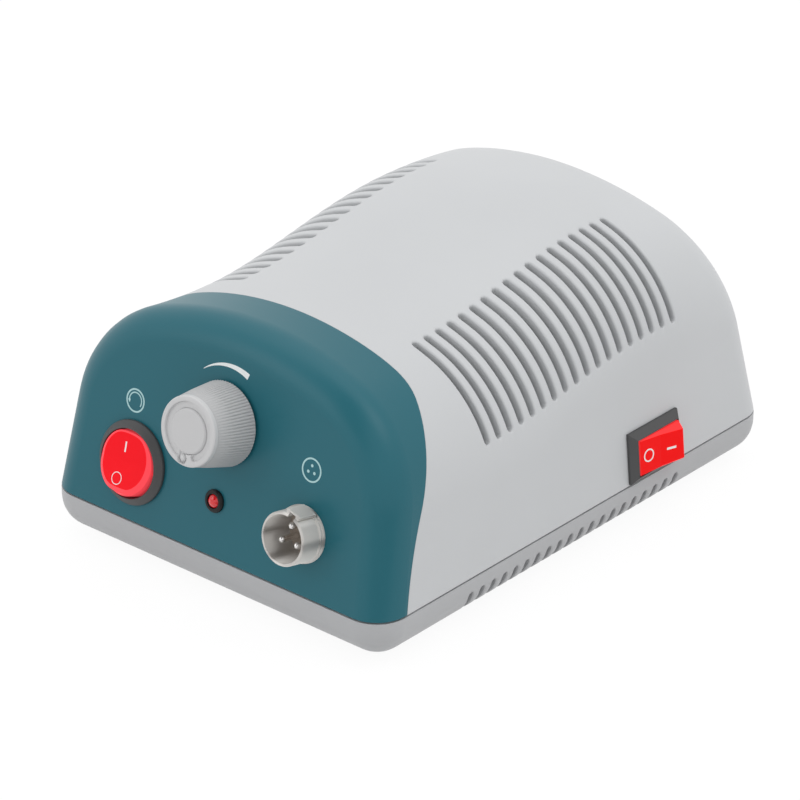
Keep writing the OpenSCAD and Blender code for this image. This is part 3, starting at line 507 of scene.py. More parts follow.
# Feet
# Four round feet of black rubber, pressed into recesses under the tray.
def copies(name, master, place, pattern, sizes, finish):
    """Copies of the master in rows or on a ring, kept as one plain mesh."""
    tree = bpy.data.node_groups.new(name, "GeometryNodeTree")
    entries = {label: "Int" if isinstance(size, int) else "Float" for label, size in sizes.items()}
    for label, kind in {"Part": "Geometry", **entries, "Finish": "Material"}.items():
        tree.interface.new_socket(label, in_out="INPUT", socket_type="NodeSocket" + kind)
    tree.interface.new_socket("Result", in_out="OUTPUT", socket_type="NodeSocketGeometry")
    entry = add_node(tree, "NodeGroupInput").outputs
    if pattern == "rows":
        spots = add_node(tree, "GeometryNodeMeshGrid", {
            "Size X": entry["Length"], "Size Y": entry["Width"],
            "Vertices X": entry["Along"], "Vertices Y": entry["Across"]})
        spread = {"Points": spots.outputs["Mesh"]}
    else:
        index = add_node(tree, "GeometryNodeInputIndex").outputs[0]
        share = add_node(tree, "ShaderNodeMath", {0: index, 1: entry["Count"]}, operation="DIVIDE")
        angle = add_node(tree, "ShaderNodeMath", {
            0: share.outputs[0], 1: 2 * math.pi, 2: entry["Start"]}, operation="MULTIPLY_ADD")
        out = add_node(tree, "ShaderNodeCombineXYZ", {"X": entry["Radius"]})
        swing = add_node(tree, "ShaderNodeVectorRotate", {
            "Vector": out.outputs[0], "Angle": angle.outputs[0]}, rotation_type="Z_AXIS")
        spots = add_node(tree, "GeometryNodePoints", {
            "Count": entry["Count"], "Position": swing.outputs[0]})
        turn = add_node(tree, "ShaderNodeCombineXYZ", {"Z": angle.outputs[0]})
        spread = {"Points": spots.outputs["Points"], "Rotation": turn.outputs[0]}
    spread = add_node(tree, "GeometryNodeInstanceOnPoints", {"Instance": entry["Part"], **spread})
    real = add_node(tree, "GeometryNodeRealizeInstances", {"Geometry": spread.outputs["Instances"]})
    coat = add_node(tree, "GeometryNodeSetMaterial", {
        "Geometry": real.outputs["Geometry"], "Material": entry["Finish"]})
    add_node(tree, "NodeGroupOutput", {0: coat.outputs["Geometry"]})
    repeat = master.modifiers.new("repeat", "NODES")
    repeat.node_group = tree
    for socket in tree.interface.items_tree:
        if socket.in_out == "INPUT" and socket.name != "Part":
            repeat[socket.identifier] = finish if socket.name == "Finish" else sizes[socket.name]
    mesh = settled(master)
    mesh.transform(place)
    mesh.name = name
    bpy.data.objects.remove(master)
    return placed(name, mesh)


foot = piece("foot", rod(foot_r, 0, foot_h + foot_sink, ease=0.6), unmoved)
feet = copies("feet", foot, BODY, "rows",
              {"Length": 2 * foot_at[0], "Width": 2 * foot_at[1], "Along": 2, "Across": 2},
              moulded("foot_rubber", (48, 48, 50), 0.8, grain=0.08))
fitted(feet, "housing", "foot_rubber", "rubber_feet")


# Transformer
# Stacked silicon-steel laminations with a taped copper coil, held down by a
# zinc-plated strap frame and two screws.
def metal(name, colour, roughness):
    """Plated or turned metal, with a faint uneven tone."""
    material = moulded(name, colour, roughness, grain=0.01, mottle=0.04)
    feed(shader_of(material), {"Metallic": 1.0})
    return material


def dressed(finish, ease, *nodes):
    """Pieces whose solid is their shape: a finish, and edges eased by ease mm."""
    for node in nodes:
        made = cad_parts[node]
        for slot in made.material_slots:
            slot.material = finish
        modify(made, "merged", "WELD", merge_threshold=1e-6)
        modify(made, "flats", "DECIMATE", decimate_type="DISSOLVE", angle_limit=math.radians(0.5))
        modify(made, "eased", "BEVEL", width=ease * 0.001, segments=2, limit_method="ANGLE",
               angle_limit=math.radians(35))
        modify(made, "even_shading", "WEIGHTED_NORMAL", keep_sharp=True)


steel = metal("screw_steel", (188, 189, 192), 0.32)
dressed(moulded("core_iron", (70, 72, 78), 0.55, grain=0.3), 0.3, "transformer_core")
dressed(moulded("coil_tape", (214, 168, 58), 0.35, grain=0.1), 0.5, "transformer_coil")
dressed(metal("strap_steel", (176, 178, 180), 0.38), 0.2, "transformer_frame")
dressed(steel, 0.3, "transformer_screws")


# Circuit board
# The speed control: a green laminate board on four standoffs, with its cans,
# power transistor on a black heat sink, and a pin header.
dressed(moulded("board_green", (24, 96, 58), 0.4, mottle=0.15), 0.1, "circuit_board")
dressed(steel, 0.25, "board_screws")
dressed(moulded("can_blue", (28, 40, 92), 0.3), 0.5, "capacitors")
dressed(metal("sink_aluminium", (150, 152, 155), 0.45), 0.2, "heatsink")
dressed(moulded("chip_black", (34, 34, 36), 0.5), 0.2, "power_transistor")
dressed(moulded("header_ivory", (226, 220, 200), 0.45), 0.15, "board_header")


# Main cover
# One moulding in pale grey ABS: an arch section swept along the S-curved crown,
# open below and in front, with eighteen cooling slots through each flank.
draft, lean = math.radians(5.5), math.radians(12.0)
tan_draft, tan_lean = math.tan(draft), math.tan(lean)
crown_r, shoulder_r = 105.0, 34.6
crown_low, crown_high, crown_fall = 58.4, 67.0, 6.6
dip_y, peak_y = -35.0, 36.0


def crown(y):
    """Crown height above the seam at depth y: low behind the panel, high to the rear."""
    front = crown_low + crown_fall * (np.maximum(dip_y - y, 0) / (half_d + dip_y)) ** 2
    wave = crown_low + (crown_high - crown_low) / 2 * (1 - np.cos(np.pi * (y - dip_y) / (peak_y - dip_y)))
    rear = crown_high - crown_fall * (np.maximum(y - peak_y, 0) / (half_d - peak_y)) ** 2
    return np.where(y < dip_y, front, np.where(y < peak_y, wave, rear))


def shoulder(c):
    """Centre and first angle of the shoulder arc, and the crown arc's centre height."""
    a = (half_w * math.cos(draft) - shoulder_r) / math.cos(draft)
    e = c - crown_r
    k = a * tan_draft + e
    square = k * k - (1 + tan_draft ** 2) * (a * a + e * e - (crown_r - shoulder_r) ** 2)
    cz = (k + np.sqrt(square)) / (1 + tan_draft ** 2)
    cx = a - tan_draft * cz
    return cx, cz, np.arctan2(cz - e, cx), e


def arch(run, c, inset):
    """Point (x, z) of the half section, run mm along it from the middle of the crown."""
    cx, cz, turn, e = shoulder(c)
    over = crown_r * (math.pi / 2 - turn)
    down = run - over - shoulder_r * (turn - draft)
    t1 = math.pi / 2 - run / crown_r
    t2 = turn - (run - over) / shoulder_r
    big, small = crown_r - inset, shoulder_r - inset
    stretches = [run < over, down < 0, down >= 0]
    x = np.select(stretches, [big * np.cos(t1), cx + small * np.cos(t2),
                              cx + small * math.cos(draft) + down * math.sin(draft)])
    z = np.select(stretches, [e + big * np.sin(t1), cz + small * np.sin(t2),
                              cz + small * math.sin(draft) - down * math.cos(draft)])
    return x, z


slot_tip_x, slot_low_x = 29.5, 55.4
rows_over, rows_slot, rows_wall = 12, 18, 14
low_row, middle_row = rows_over + rows_slot, rows_over + rows_slot + rows_wall
row_count = 2 * middle_row + 1


def cover_runs(c, inset, tip_back, low_back):
    """Runs of all rows of one column, with the slot's two ends at rows of their own."""
    cx, cz, turn, _ = shoulder(c)
    over = crown_r * (math.pi / 2 - turn)
    tip = crown_r * math.asin(slot_tip_x / crown_r) + tip_back
    low_end = over + shoulder_r * (turn - np.arccos((slot_low_x - cx) / shoulder_r)) - low_back
    down = (cz + (shoulder_r - inset) * math.sin(draft) - half_gap) / math.cos(draft)
    foot = over + shoulder_r * (turn - draft) + down
    i = np.arange(middle_row + 1)
    return np.select([i < rows_over, i < low_row, i >= low_row], [
        tip * i / rows_over, tip + (low_end - tip) * (i - rows_over) / rows_slot,
        low_end + (foot - low_end) * (i - rows_over - rows_slot) / rows_wall])


def column(depth, ring_inset, shell_inset, tip_back=0.0, low_back=0.0):
    """Points of one column of the half shell. depth gives y for a height z above the
    seam; as y sets the crown's height and so z, the two are settled in turns."""
    inset = ring_inset + shell_inset
    z = np.full(middle_row + 1, 40.0)
    for _ in range(8):
        y = depth(z) + 0 * z
        c = crown(y)
        x, z = arch(cover_runs(c, inset, tip_back, low_back), c, inset)
    y = depth(z) + 0 * z
    return np.stack([x, y, z + seam_z], 1)


edge_r, edge_y, edge_z = 115.0, 40.7, -22.3
edge_join_r = 12.0
edge_join_y = -47.5 - edge_join_r
edge_join_z = edge_z + math.sqrt((edge_r + edge_join_r) ** 2 - (edge_y - edge_join_y) ** 2)
edge_meets = edge_z + edge_r * (edge_join_z - edge_z) / (edge_r + edge_join_r)


def front_edge(z):
    """Depth of the line where cover and panel meet, at a height z above the seam."""
    big = edge_y - np.sqrt(edge_r ** 2 - np.minimum(z - edge_z, edge_meets - edge_z) ** 2)
    lift = np.clip(z - edge_join_z, edge_meets - edge_join_z, 0)
    small = edge_join_y + np.sqrt(edge_join_r ** 2 - lift ** 2)
    return np.where(z < edge_meets, big, small)


slot_count, slot_mid_y, slot_end_stretch = 18, 4.4, 1.13
slot_clear = 2.2
cover_slot_edge = 0.6
front_columns, rear_columns, end_rings = 12, 14, 8


def end_columns(sign, shell_inset, start, count):
    """Columns from a start line to a leaning end, and round its edge. The sign is 1
    at the rear and -1 in front."""
    r = corner_r - shell_inset
    end_y = half_d - shell_inset / math.cos(lean)
    made = []
    for i in range(count):
        u = i / count
        made.append(column(lambda z: start(z) * (1 - u) + sign * (end_y - r - tan_lean * z) * u,
                           0, shell_inset))
    for i in range(end_rings + 1):
        t = math.pi / 2 * i / end_rings
        made.append(column(lambda z: sign * (end_y - r * (1 - math.sin(t)) - tan_lean * z),
                           r * (1 - math.cos(t)), shell_inset))
    return made


def cover_columns(shell_inset):
    """Columns from the panel's edge to the rear, and for each whether a slot lies
    between it and the next."""
    slot_ys = slots_along(slot_mid_y, slot_count)
    y_front, y_rear = slot_ys[0] - slot_clear, slot_ys[-1] + slot_clear
    made = []
    for i in range(front_columns):
        u = i / front_columns
        made.append((column(lambda z: front_edge(z) * (1 - u) + y_front * u, 0, shell_inset), False))
    for y in slot_ys:
        back = slot_end_stretch
        made.append((column(lambda z: y - slot_pitch / 2, 0, shell_inset, back, back), False))
        for d in across_slot:
            back = end_back(d, slot_end_stretch)
            made.append((column(lambda z: y + d * slot_half_w, 0, shell_inset, back, back), d < 1))
    return made + [(c, False) for c in end_columns(1, shell_inset, lambda z: y_rear, rear_columns)]


def whole(columns):
    """Points of all columns, whose rows run from one foot over the crown to the other."""
    return np.concatenate([np.concatenate([c[:0:-1] * [-1, 1, 1], c]) for c in columns])


def skin_faces(n_columns, left_out=lambda i, j: False):
    """Faces between neighbouring columns, and one over the leaning end."""
    corners = [(i * row_count + j, (i + 1) * row_count + j)
               for i in range(n_columns - 1) for j in range(row_count - 1) if not left_out(i, j)]
    last = (n_columns - 1) * row_count
    return [(a, a + 1, b + 1, b) for a, b in corners] + [tuple(last + j for j in range(row_count))]


outer_columns = cover_columns(0.0)
cover_skin = shell(
    whole([c for c, _ in outer_columns]), whole([c for c, _ in cover_columns(wall)]),
    skin_faces(len(outer_columns),
               lambda i, j: outer_columns[i][1] and rows_over < abs(j + 0.5 - middle_row) < low_row),
    [cover_slot_edge if i >= row_count and i % row_count not in (0, row_count - 1) else seam_edge
     for i in range(len(outer_columns) * row_count)])


def loft(rings, flip=False):
    """A closed body through rings of points, which run counter-clockwise seen from
    the last ring, or clockwise with flip."""
    n = len(rings[0])
    first, last = range(n), range((len(rings) - 1) * n, len(rings) * n)
    ends = [tuple(first), tuple(reversed(last))] if flip else [tuple(reversed(first)), tuple(last)]
    return [p for ring in rings for p in ring], ends + quads(len(rings), n, flip=flip)


def prism(outline, z0, z1):
    """A flat outline, counter-clockwise from above, between two heights."""
    return loft([[(x, y, z) for x, y in outline] for z in (z0, z1)])


def box(w, d, z0, z1):
    return prism([(-w / 2, -d / 2), (w / 2, -d / 2), (w / 2, d / 2), (-w / 2, d / 2)], z0, z1)


def leaning(y, turn, x, up):
    """Frame on one of the two leaning ends: x to the right, y up, z out of it."""
    return (BODY @ at(0, y, seam_z) @ Matrix.Rotation(turn, 4, "Z")
            @ Matrix.Rotation(math.pi / 2 - lean, 4, "X") @ at(x, up))


def on_panel(x, up):
    return leaning(-half_d, 0, x, up)


def on_rear(x, up):
    return leaning(half_d, math.pi, x, up)


upright = Matrix.Rotation(math.pi / 2, 4, "X")


def on_side(y, up):
    """Frame on the right wall: x to the rear, y up, z out of it."""
    return (BODY @ at(half_w, 0, seam_z) @ Matrix.Rotation(-draft, 4, "Y")
            @ Matrix.Rotation(math.pi / 2, 4, "Z") @ upright @ at(y, up))


post_long, thread_r, web_half = 20, 1.5, 1
cover_post_top = seam_z + post_long
cover_post = lathe([(thread_r, cover_foot), (post_r, cover_foot), (post_r, cover_post_top),
                    (thread_r, cover_post_top)], loop=True, turns=48)
web_mid = half_w - wall / 2
web_outline = [(post_at[0], cover_foot), (web_mid, cover_foot),
               (web_mid - post_long * tan_draft, cover_post_top), (post_at[0], cover_post_top)]
left_outline = [(-x, z) for x, z in reversed(web_outline)]
webs = [moved(prism(web_outline if sx > 0 else left_outline, -web_half, web_half),
              at(0, sy * post_at[1]) @ upright) for sx, sy in four]
side_y, side_up, side_hole = 30.2, 8.15, (19.4, 13.0)
inlet_x, fuse_x, rear_up = -24.0, 8.0, 24.0
inlet_hole, fuse_hole_r = (27.4, 20.0), 6.25
through = 6
cover_finish = moulded("cover_grey", (204, 206, 208), 0.42)
cover = bored(piece("cover_moulding", cover_skin, BODY, cover_finish),
              (box(*side_hole, -through, through), on_side(side_y, side_up)),
              (box(*inlet_hole, -through, through), on_rear(inlet_x, rear_up)),
              (rod(fuse_hole_r, -through, through), on_rear(fuse_x, rear_up)))
cover_parts = [moved(as_part(cover), BODY.inverted())]
cover_parts += [moved(cover_post, at(x, y)) for x, y in post_places]
cover = piece("cover_moulding", together(*cover_parts, *webs), BODY, cover_finish)
fitted(cover, "housing", "cover_grey", "main_cover", sharp_from=50)


# Control panel
# The front end of the same arch, a separate moulding in teal ABS. It leans back
# and meets the cover on a long curved line.
outer_panel = end_columns(-1, 0.0, front_edge, front_columns)
panel_skin = shell(
    whole(outer_panel), whole(end_columns(-1, wall, front_edge, front_columns)),
    [tuple(reversed(f)) for f in skin_faces(len(outer_panel))], [seam_edge] * len(outer_panel) * row_count)
round_x, round_up = -30.0, 16.3
knob_up, lamp_up = 37.0, 15.4
socket_x, socket_up = 30.5, 16.6
panel_holes = ((round_x, round_up, 10.05), (0, knob_up, 3.55), (0, lamp_up, 2.65),
               (socket_x, socket_up, 6.9))
panel_finish = moulded("panel_teal", (34, 102, 115), 0.36, gloss=0.3)
panel = bored(piece("panel_moulding", panel_skin, BODY, panel_finish),
              *[(rod(r, -through, through), on_panel(x, up)) for x, up, r in panel_holes])
fitted(panel, "housing", "panel_teal", "front_panel", sharp_from=50)


# Case screws
# Four cross-headed steel screws, from below through the tray's posts into the
# cover's posts.
head_r, head_low, screw_tip = 2.8, 4, 28
cross_long, cross_wide = 3.6, 0.7
screw_profile = [(0, head_low), (head_r, head_low), (head_r, recess_top), (thread_r, recess_top),
                 (thread_r, screw_tip), (0, screw_tip)]
screw = bored(piece("screw", lathe(rounded(screw_profile, 0.35)), unmoved),
              (box(cross_long, cross_wide, head_low - 1, head_low + 1), unmoved),
              (box(cross_wide, cross_long, head_low - 1, head_low + 1), unmoved))
screws = copies("case_screws_turned", screw, BODY, "rows",
                {"Length": 2 * post_at[0], "Width": 2 * post_at[1], "Along": 2, "Across": 2}, steel)
fitted(screws, "housing", "screw_steel", "case_screws")


# Round rocker switch
# A black nylon bezel and body clipped into the panel, with a round red button
# that rocks on a pin: its face is a shallow V, and at rest its upper end is in.
bezel_finish = moulded("switch_black", (72, 72, 73), 0.5, grain=0.1)
mode_bezel = [(0, -16), (10, -16), (10, 0), (11.6, 0), (11.6, 0.9), (9.8, 2.4), (9.5, 2.4),
              (9.5, -9), (0, -9)]
mode_switch = piece("mode_switch_bezel", lathe(rounded(mode_bezel, 0.3), turns=96),
                    on_panel(round_x, round_up), bezel_finish)
fitted(mode_switch, "housing", "switch_black", "mode_switch_body")
brass = metal("terminal_brass", (206, 170, 92), 0.3)
dressed(brass, 0.15, "mode_switch_terminals", "power_switch_terminals")

dish, tilt = math.tan(math.radians(3.3)), math.radians(10.5)
button_r, swing_r = 9.0, 9.1
face_h, button_low = 2.8, -2.5
button_ease, button_drop, upper_narrowing = 1.5, 0.9, 0.7
corner_power = 20
mode_pin_out = 0.78


def button_plastic(name, place, red, pale):
    """Red plastic with painted light: where a face turns away from the way that the button looks,
    at the eased edges and the flanks, a paler colour and a faint glow are painted in, for light that seems
    to come through the plastic."""
    material = moulded(name, red, 0.4, mottle=0.01, gloss=0.12)
    tree, shader = material.node_tree, shader_of(material)
    normal = add_node(tree, "ShaderNodeTexCoord").outputs["Normal"]
    facing = add_node(tree, "ShaderNodeVectorMath", {0: normal, 1: place.col[2].xyz.normalized()},
                      operation="DOT_PRODUCT")
    turned = add_node(tree, "ShaderNodeMapRange", {
        "From Min": 0.97, "From Max": 0.88, "Value": facing.outputs["Value"]})
    # The turned faces get a painted paler colour and a painted glow, though no light passes through them.
    painted_paler = add_node(tree, "ShaderNodeMix", {
        "Factor": turned.outputs["Result"], "A": shader.inputs["Base Color"].links[0].from_socket,
        "B": srgb(pale)}, data_type="RGBA")
    painted_glow = add_node(tree, "ShaderNodeMath", {0: turned.outputs["Result"], 1: 0.27, 2: 0.05},
                   operation="MULTIPLY_ADD")
    feed(shader, {"Base Color": painted_paler.outputs["Result"], "Emission Strength": painted_glow.outputs[0],
                  "Emission Color": srgb(pale)})
    return material


def button_column(a):
    """Radius and height of each ring at the angle a: the face, its eased edge, which
    narrows to the upper end, and the flank, which clears the bezel as it swings."""
    s = max(abs(math.sin(a)), 1e-6)
    top = face_h + button_r * s * dish
    reach = math.sqrt(swing_r ** 2 - top ** 2) / s
    rim = (button_r ** -corner_power + reach ** -corner_power) ** (-1 / corner_power)
    wide = 1 - upper_narrowing * max(math.sin(a), 0)
    ease, drop = button_ease * wide, button_drop * wide
    inner, rise = rim - ease, s * dish
    face = [(inner * u, face_h + inner * u * rise) for u in (0.25, 0.5, 0.75, 0.92, 1.0)]
    edge = [(rim - ease * (1 - out), face_h + inner * rise - drop * down)
            for out, down in ((0.06, 0.06), (0.5, 0.5), (0.9, 0.9), (1.0, 1.3))]
    flank = [(min(button_r, math.sqrt(swing_r ** 2 - z ** 2) / s), z) for z in (1.2, -0.6, button_low)]
    return face + edge + flank


def round_button(turns=96):
    """Rings of points from the middle of the face over the edge and down the flank."""
    angles = [2 * math.pi * k / turns for k in range(turns)]
    columns = [button_column(a) for a in angles]
    rings = len(columns[0])
    points = [(0, 0, face_h)] + [(c[i][0] * math.cos(a), c[i][0] * math.sin(a), c[i][1])
                                 for i in range(rings) for a, c in zip(angles, columns)]
    fan = [(0, 1 + k, 1 + (k + 1) % turns) for k in range(turns)]
    sides = [tuple(1 + v for v in f) for f in quads(rings, turns, flip=True)]
    return points, fan + sides + [tuple(1 + (rings - 1) * turns + k for k in reversed(range(turns)))]


mode_frame = on_panel(round_x, round_up) @ at(0, 0, mode_pin_out) @ Matrix.Rotation(-tilt, 4, "X")
pin_across = moved(rod(1.2, -9.4, 9.4, ease=0.2, turns=32), Matrix.Rotation(math.pi / 2, 4, "Y"))
plunger = rod(2, -6, -2, ease=0.4, turns=32)
# The second colour is painted light: the paler tone and glow of the button's edges and flank.
mode_button = piece("mode_button_red", together(round_button(), pin_across, plunger), mode_frame,
                    button_plastic("button_red", mode_frame, (255, 6, 26), (255, 74, 84)))
fitted(mode_button, "mode_rocker", "button_red", "mode_button", sharp_from=30)


# Marks on the buttons
# The usual line and ring of a mains rocker, hot-stamped in white: the line on one
# face of a button and the ring on the other.
print_low, print_high = -0.02, 0.03
side_face_h, power_pin_out = 2.7, 0.9


def ribbon(path, widths):
    """A flat raised line along a path, of the given width at each of its points."""
    left, right = [], []
    for i, p in enumerate(path):
        d = (Vector(path[min(i + 1, len(path) - 1)]) - Vector(path[max(i - 1, 0)])).normalized()
        side = Vector((-d.y, d.x)) * widths[i] / 2
        left.append(tuple(Vector(p) + side))
        right.append(tuple(Vector(p) - side))
    return prism(right + left[::-1], print_low, print_high)


def print_ring(r, stroke):
    inner = r - stroke
    return lathe([(inner, print_low), (r, print_low), (r, print_high), (inner, print_high)], loop=True)


stamp = moulded("stamp_white", (244, 240, 240), 0.5)
upper_face = at(0, 0, face_h) @ Matrix.Rotation(math.atan(dish), 4, "X")
lower_face = at(0, 0, face_h) @ Matrix.Rotation(-math.atan(dish), 4, "X")
mode_marks = piece("mode_marks", together(
    moved(ribbon([(-0.5, 2.75), (-0.7, 5.6)], [0.5, 0.5]), upper_face),
    moved(print_ring(1.75, 0.22), lower_face @ at(-1.05, -4.7))), mode_frame, stamp)
fitted(mode_marks, "mode_rocker", "button_red")

power_frame = on_side(side_y, side_up) @ at(0, 0, power_pin_out) @ Matrix.Rotation(-tilt, 4, "Y")
front_face = at(0, 0, side_face_h) @ Matrix.Rotation(math.atan(dish), 4, "Y")
rear_face = at(0, 0, side_face_h) @ Matrix.Rotation(-math.atan(dish), 4, "Y")
power_marks = piece("power_marks", together(
    moved(ribbon([(2.0, -0.5), (5.2, -0.78)], [0.66, 0.66]), rear_face),
    moved(print_ring(1.9, 0.42), front_face @ at(-4.65, -0.1))), power_frame, stamp)
fitted(power_marks, "power_rocker", "button_red")


# Side rocker switch
# The mains switch: a black nylon frame with sloping faces, clipped into the
# cover's right wall, and a long red button with a shallow V face.
dressed(bezel_finish, 0.3, "power_switch_body")
side_swing_r, side_half_h = 8.5, 5.15
side_reach, side_bend, flank_z = 7.9, 4.0, 1.2


def side_button():
    """Stations across the button, each with the rocker's outline seen along its
    pin. The upper flank leans in more and more towards the raised rear end."""
    heights = (button_low, side_face_h + side_reach * dish)
    low_a, top_a = (math.degrees(math.asin(z / side_swing_r)) for z in heights)
    rear = arc(side_swing_r, low_a, top_a, 5)
    bend_z = side_face_h + side_bend * dish
    outline = rear + [(side_bend, bend_z), (0, side_face_h), (-side_bend, bend_z)]
    outline += [(-x, z) for x, z in reversed(rear)]
    outline = rounded(outline + [outline[0]], 0.3)[:-1]

    def station(y, back=0.0, lean_in=0.0):
        """The outline, whose upper side lies back mm lower and lean_in mm further in
        at the rear end, and less in front."""
        made = []
        for x, z in outline:
            to_rear = min(max((x + side_swing_r) / (2 * side_swing_r), 0), 1)
            upper = z > flank_z
            made.append((x * (1 - 0.02 * back), y - (lean_in * (0.12 + 0.88 * to_rear) if upper else 0),
                         z - (back * (0.25 + 0.75 * to_rear) if upper else 0)))
        return made

    return loft([station(-side_half_h, back=0.35), station(-side_half_h + 0.35),
                 station(side_half_h, lean_in=1.5), station(side_half_h, back=1.1)], flip=True)


side_pin = moved(rod(0.7, -5.9, 5.9, ease=0.2, turns=32), upright)
# The second colour is painted light: the paler tone and glow of the button's edges and flank.
power_button = piece("power_button_red", together(side_button(), side_pin, plunger), power_frame,
                     button_plastic("side_button_red", power_frame, (255, 2, 4), (255, 56, 58)))
fitted(power_button, "power_rocker", "button_red", "power_button", sharp_from=30)


# Pilot lamp
# A red lens with a round head in a black nylon holder, below the knob. Two thin
# leads run out of it behind.
holder_profile = [(1.95, -6), (2.6, -6), (2.6, 0), (3.15, 0), (3.15, 0.6), (2.65, 1.1), (1.95, 1.1)]
holder = piece("lamp_holder", lathe(rounded(holder_profile, 0.2, loop=True), loop=True),
               on_panel(0, lamp_up), moulded("holder_black", (20, 21, 22), 0.45, gloss=0.3))
fitted(holder, "housing", "switch_black", "led_bezel")
lens_r, lens_low, lens_top = 1.9, -5, 0.6
lead_w, lead_at, lead_low = 0.5, 1.27, -12
dome_r = lens_r * 1.17
dome_low = math.sqrt(dome_r ** 2 - lens_r ** 2)
dome_z = lens_top - dome_low
dome = arc(dome_r, math.degrees(math.asin(dome_low / dome_r)), 90, 8, 0, dome_z)[:-1]
lens_finish = moulded("lens_red", (226, 8, 22), 0.12, grain=0.0, gloss=0.3)
feed(shader_of(lens_finish), {"Coat Weight": 1.0})
leads = [moved(box(lead_w, lead_w, lead_low, lens_low + 0.5), at(x, 0)) for x in (lead_at, -lead_at)]
lens = piece("lamp_lens", together(
    lathe([(0, lens_low), (lens_r, lens_low)] + dome + [(0, dome_z + dome_r)]), *leads),
    on_panel(0, lamp_up), lens_finish)
fitted(lens, "housing", "lens_red", "led_lamp")


# Motor socket
# A shell turned from brass and plated, with two rings at its foot and a ridge whose
# slot keys the plug, and three ball-ended pins in an insert. A nut inside holds it.
def turned_metal(name, colour, roughness, place):
    """Turned metal: the tool marks run round the axis, so a gloss spreads along it."""
    material = metal(name, colour, roughness)
    axis = place.col[2].xyz.normalized()
    along = add_node(material.node_tree, "ShaderNodeCombineXYZ", dict(enumerate(axis)))
    feed(shader_of(material), {"Tangent": along.outputs[0], "Anisotropic": 1.0})
    return material


socket_frame = on_panel(socket_x, socket_up)
bore_r, bore_foot, foot_step = 6.45, -2.2, 0.2
shell_r, shell_top, shell_in = 7.25, 7.9, 6.05
shell_profile = [(shell_in, -9), (6.85, -9), (6.85, 0), (7.75, 0), (7.75, 0.7), (7.45, 0.75), (7.45, 1.0),
                 (7.6, 1.05), (7.6, 1.5), (shell_r, 1.75), (shell_r, 7.6), (6.95, shell_top),
                 (bore_r, shell_top), (bore_r, bore_foot - foot_step), (shell_in, bore_foot - foot_step)]
key_turn = Matrix.Rotation(math.radians(74), 4, "Z")
key_in, key_half, key_out = 6.9, 2.4, 8.15


def key_ridge():
    """The ridge outside the key slot, with rounded corners and an eased front end."""
    rings = []
    for z, ease in ((1.3, 0.0), (7.25, 0.0), (7.55, 0.28)):
        out, half = key_out - ease, key_half - ease
        outline = rounded([(key_in, -half), (out, -half), (out, half), (key_in, half)], 0.5, loop=True)
        rings.append([(x, y, z) for x, y in outline])
    return loft(rings)


key_slot = (box(1.6, 2.1, 0.6, 9), key_turn @ at(6.95, 0))
turned_shell = lathe(rounded(shell_profile, 0.12, loop=True), loop=True, turns=96)
shell_bore = bored(piece("shell", turned_shell, unmoved), key_slot)
ridge = bored(piece("ridge", moved(key_ridge(), key_turn), unmoved), key_slot)
socket_shell = piece("socket_shell_turned", together(as_part(shell_bore), as_part(ridge)), socket_frame,
                     turned_metal("shell_plate", (226, 223, 219), 0.48, socket_frame))
fitted(socket_shell, "housing", "bright_plate", "socket_shell")
insert_r, insert_top_r, insert_low = 6.0, 6.4, -8
insert_profile = [(0, insert_low), (insert_r, insert_low), (insert_r, bore_foot - 0.18),
                  (insert_top_r, bore_foot - 0.18), (insert_top_r, bore_foot), (0, bore_foot)]
insert = piece("socket_insert_moulded", lathe(rounded(insert_profile, 0.08)), socket_frame,
               moulded("insert_brown", (180, 167, 155), 0.6))
fitted(insert, "housing", "insert_brown", "socket_insert")
pin_r, pin_low, pin_circle = 0.95, -12, 3.05
ball_r, ball_z = 1.0, 4.6
ball = arc(ball_r, -20, 90, 8, 0, ball_z)[:-1]
contact = piece("contact", lathe([(0, pin_low), (pin_r, pin_low)] + ball + [(0, ball_z + ball_r)],
                                 turns=32), unmoved)
contacts = copies("socket_contacts", contact, socket_frame, "ring",
                  {"Count": 3, "Radius": pin_circle, "Start": math.pi / 2},
                  metal("pin_plate", (226, 224, 222), 0.22))
fitted(contacts, "housing", "bright_plate", "socket_pins")
plate = metal("bright_plate", (200, 201, 203), 0.25)
dressed(plate, 0.2, "socket_nut")


# Potentiometer
# The speed control behind the knob: its bushing goes through the panel, and a
# washer and a nut hold it.
dressed(plate, 0.15, "pot_bushing", "pot_washer", "pot_nut", "pot_body")
dressed(plate, 0.1, "pot_shaft")
dressed(brass, 0.1, "pot_terminals")


# Speed knob
# A grey ABS grip with eighty fine ribs, and a face with a smooth round rim,
# painted paler than the grip: a painted highlight for the light that falls on the front.
# The face has a groove, a recess with the pointer's dot, and a cap in its middle.
knob_r, knob_front_r, knob_h, knob_ribs = 11.5, 9.45, 14.5, 80
knob_gap, rim_h, rim_round, rib_h = 0.8, 1.2, 0.5, 0.3
cap_r, groove_r, groove_depth = 6.3, 7.9, 0.75
pointer_at, groove_break = math.radians(264), math.radians(24)
dot_r, dot_at, dome_h = 1.05, 7.5, 0.8
recess_round, recess_depth = 1.6, 1.0
groove_half, groove_mid = (groove_r - cap_r) / 2, (groove_r + cap_r) / 2
groove_end = groove_break + math.asin(groove_half / groove_mid)
groove_ease, cap_play, cap_sunk = 0.14, 0.15, 1.2
taper = (knob_front_r + 0.2) / knob_r
knob_frame = on_panel(0, knob_up)
knob_finish = moulded("knob_grey", (190, 190, 191), 0.5, grain=0.06)


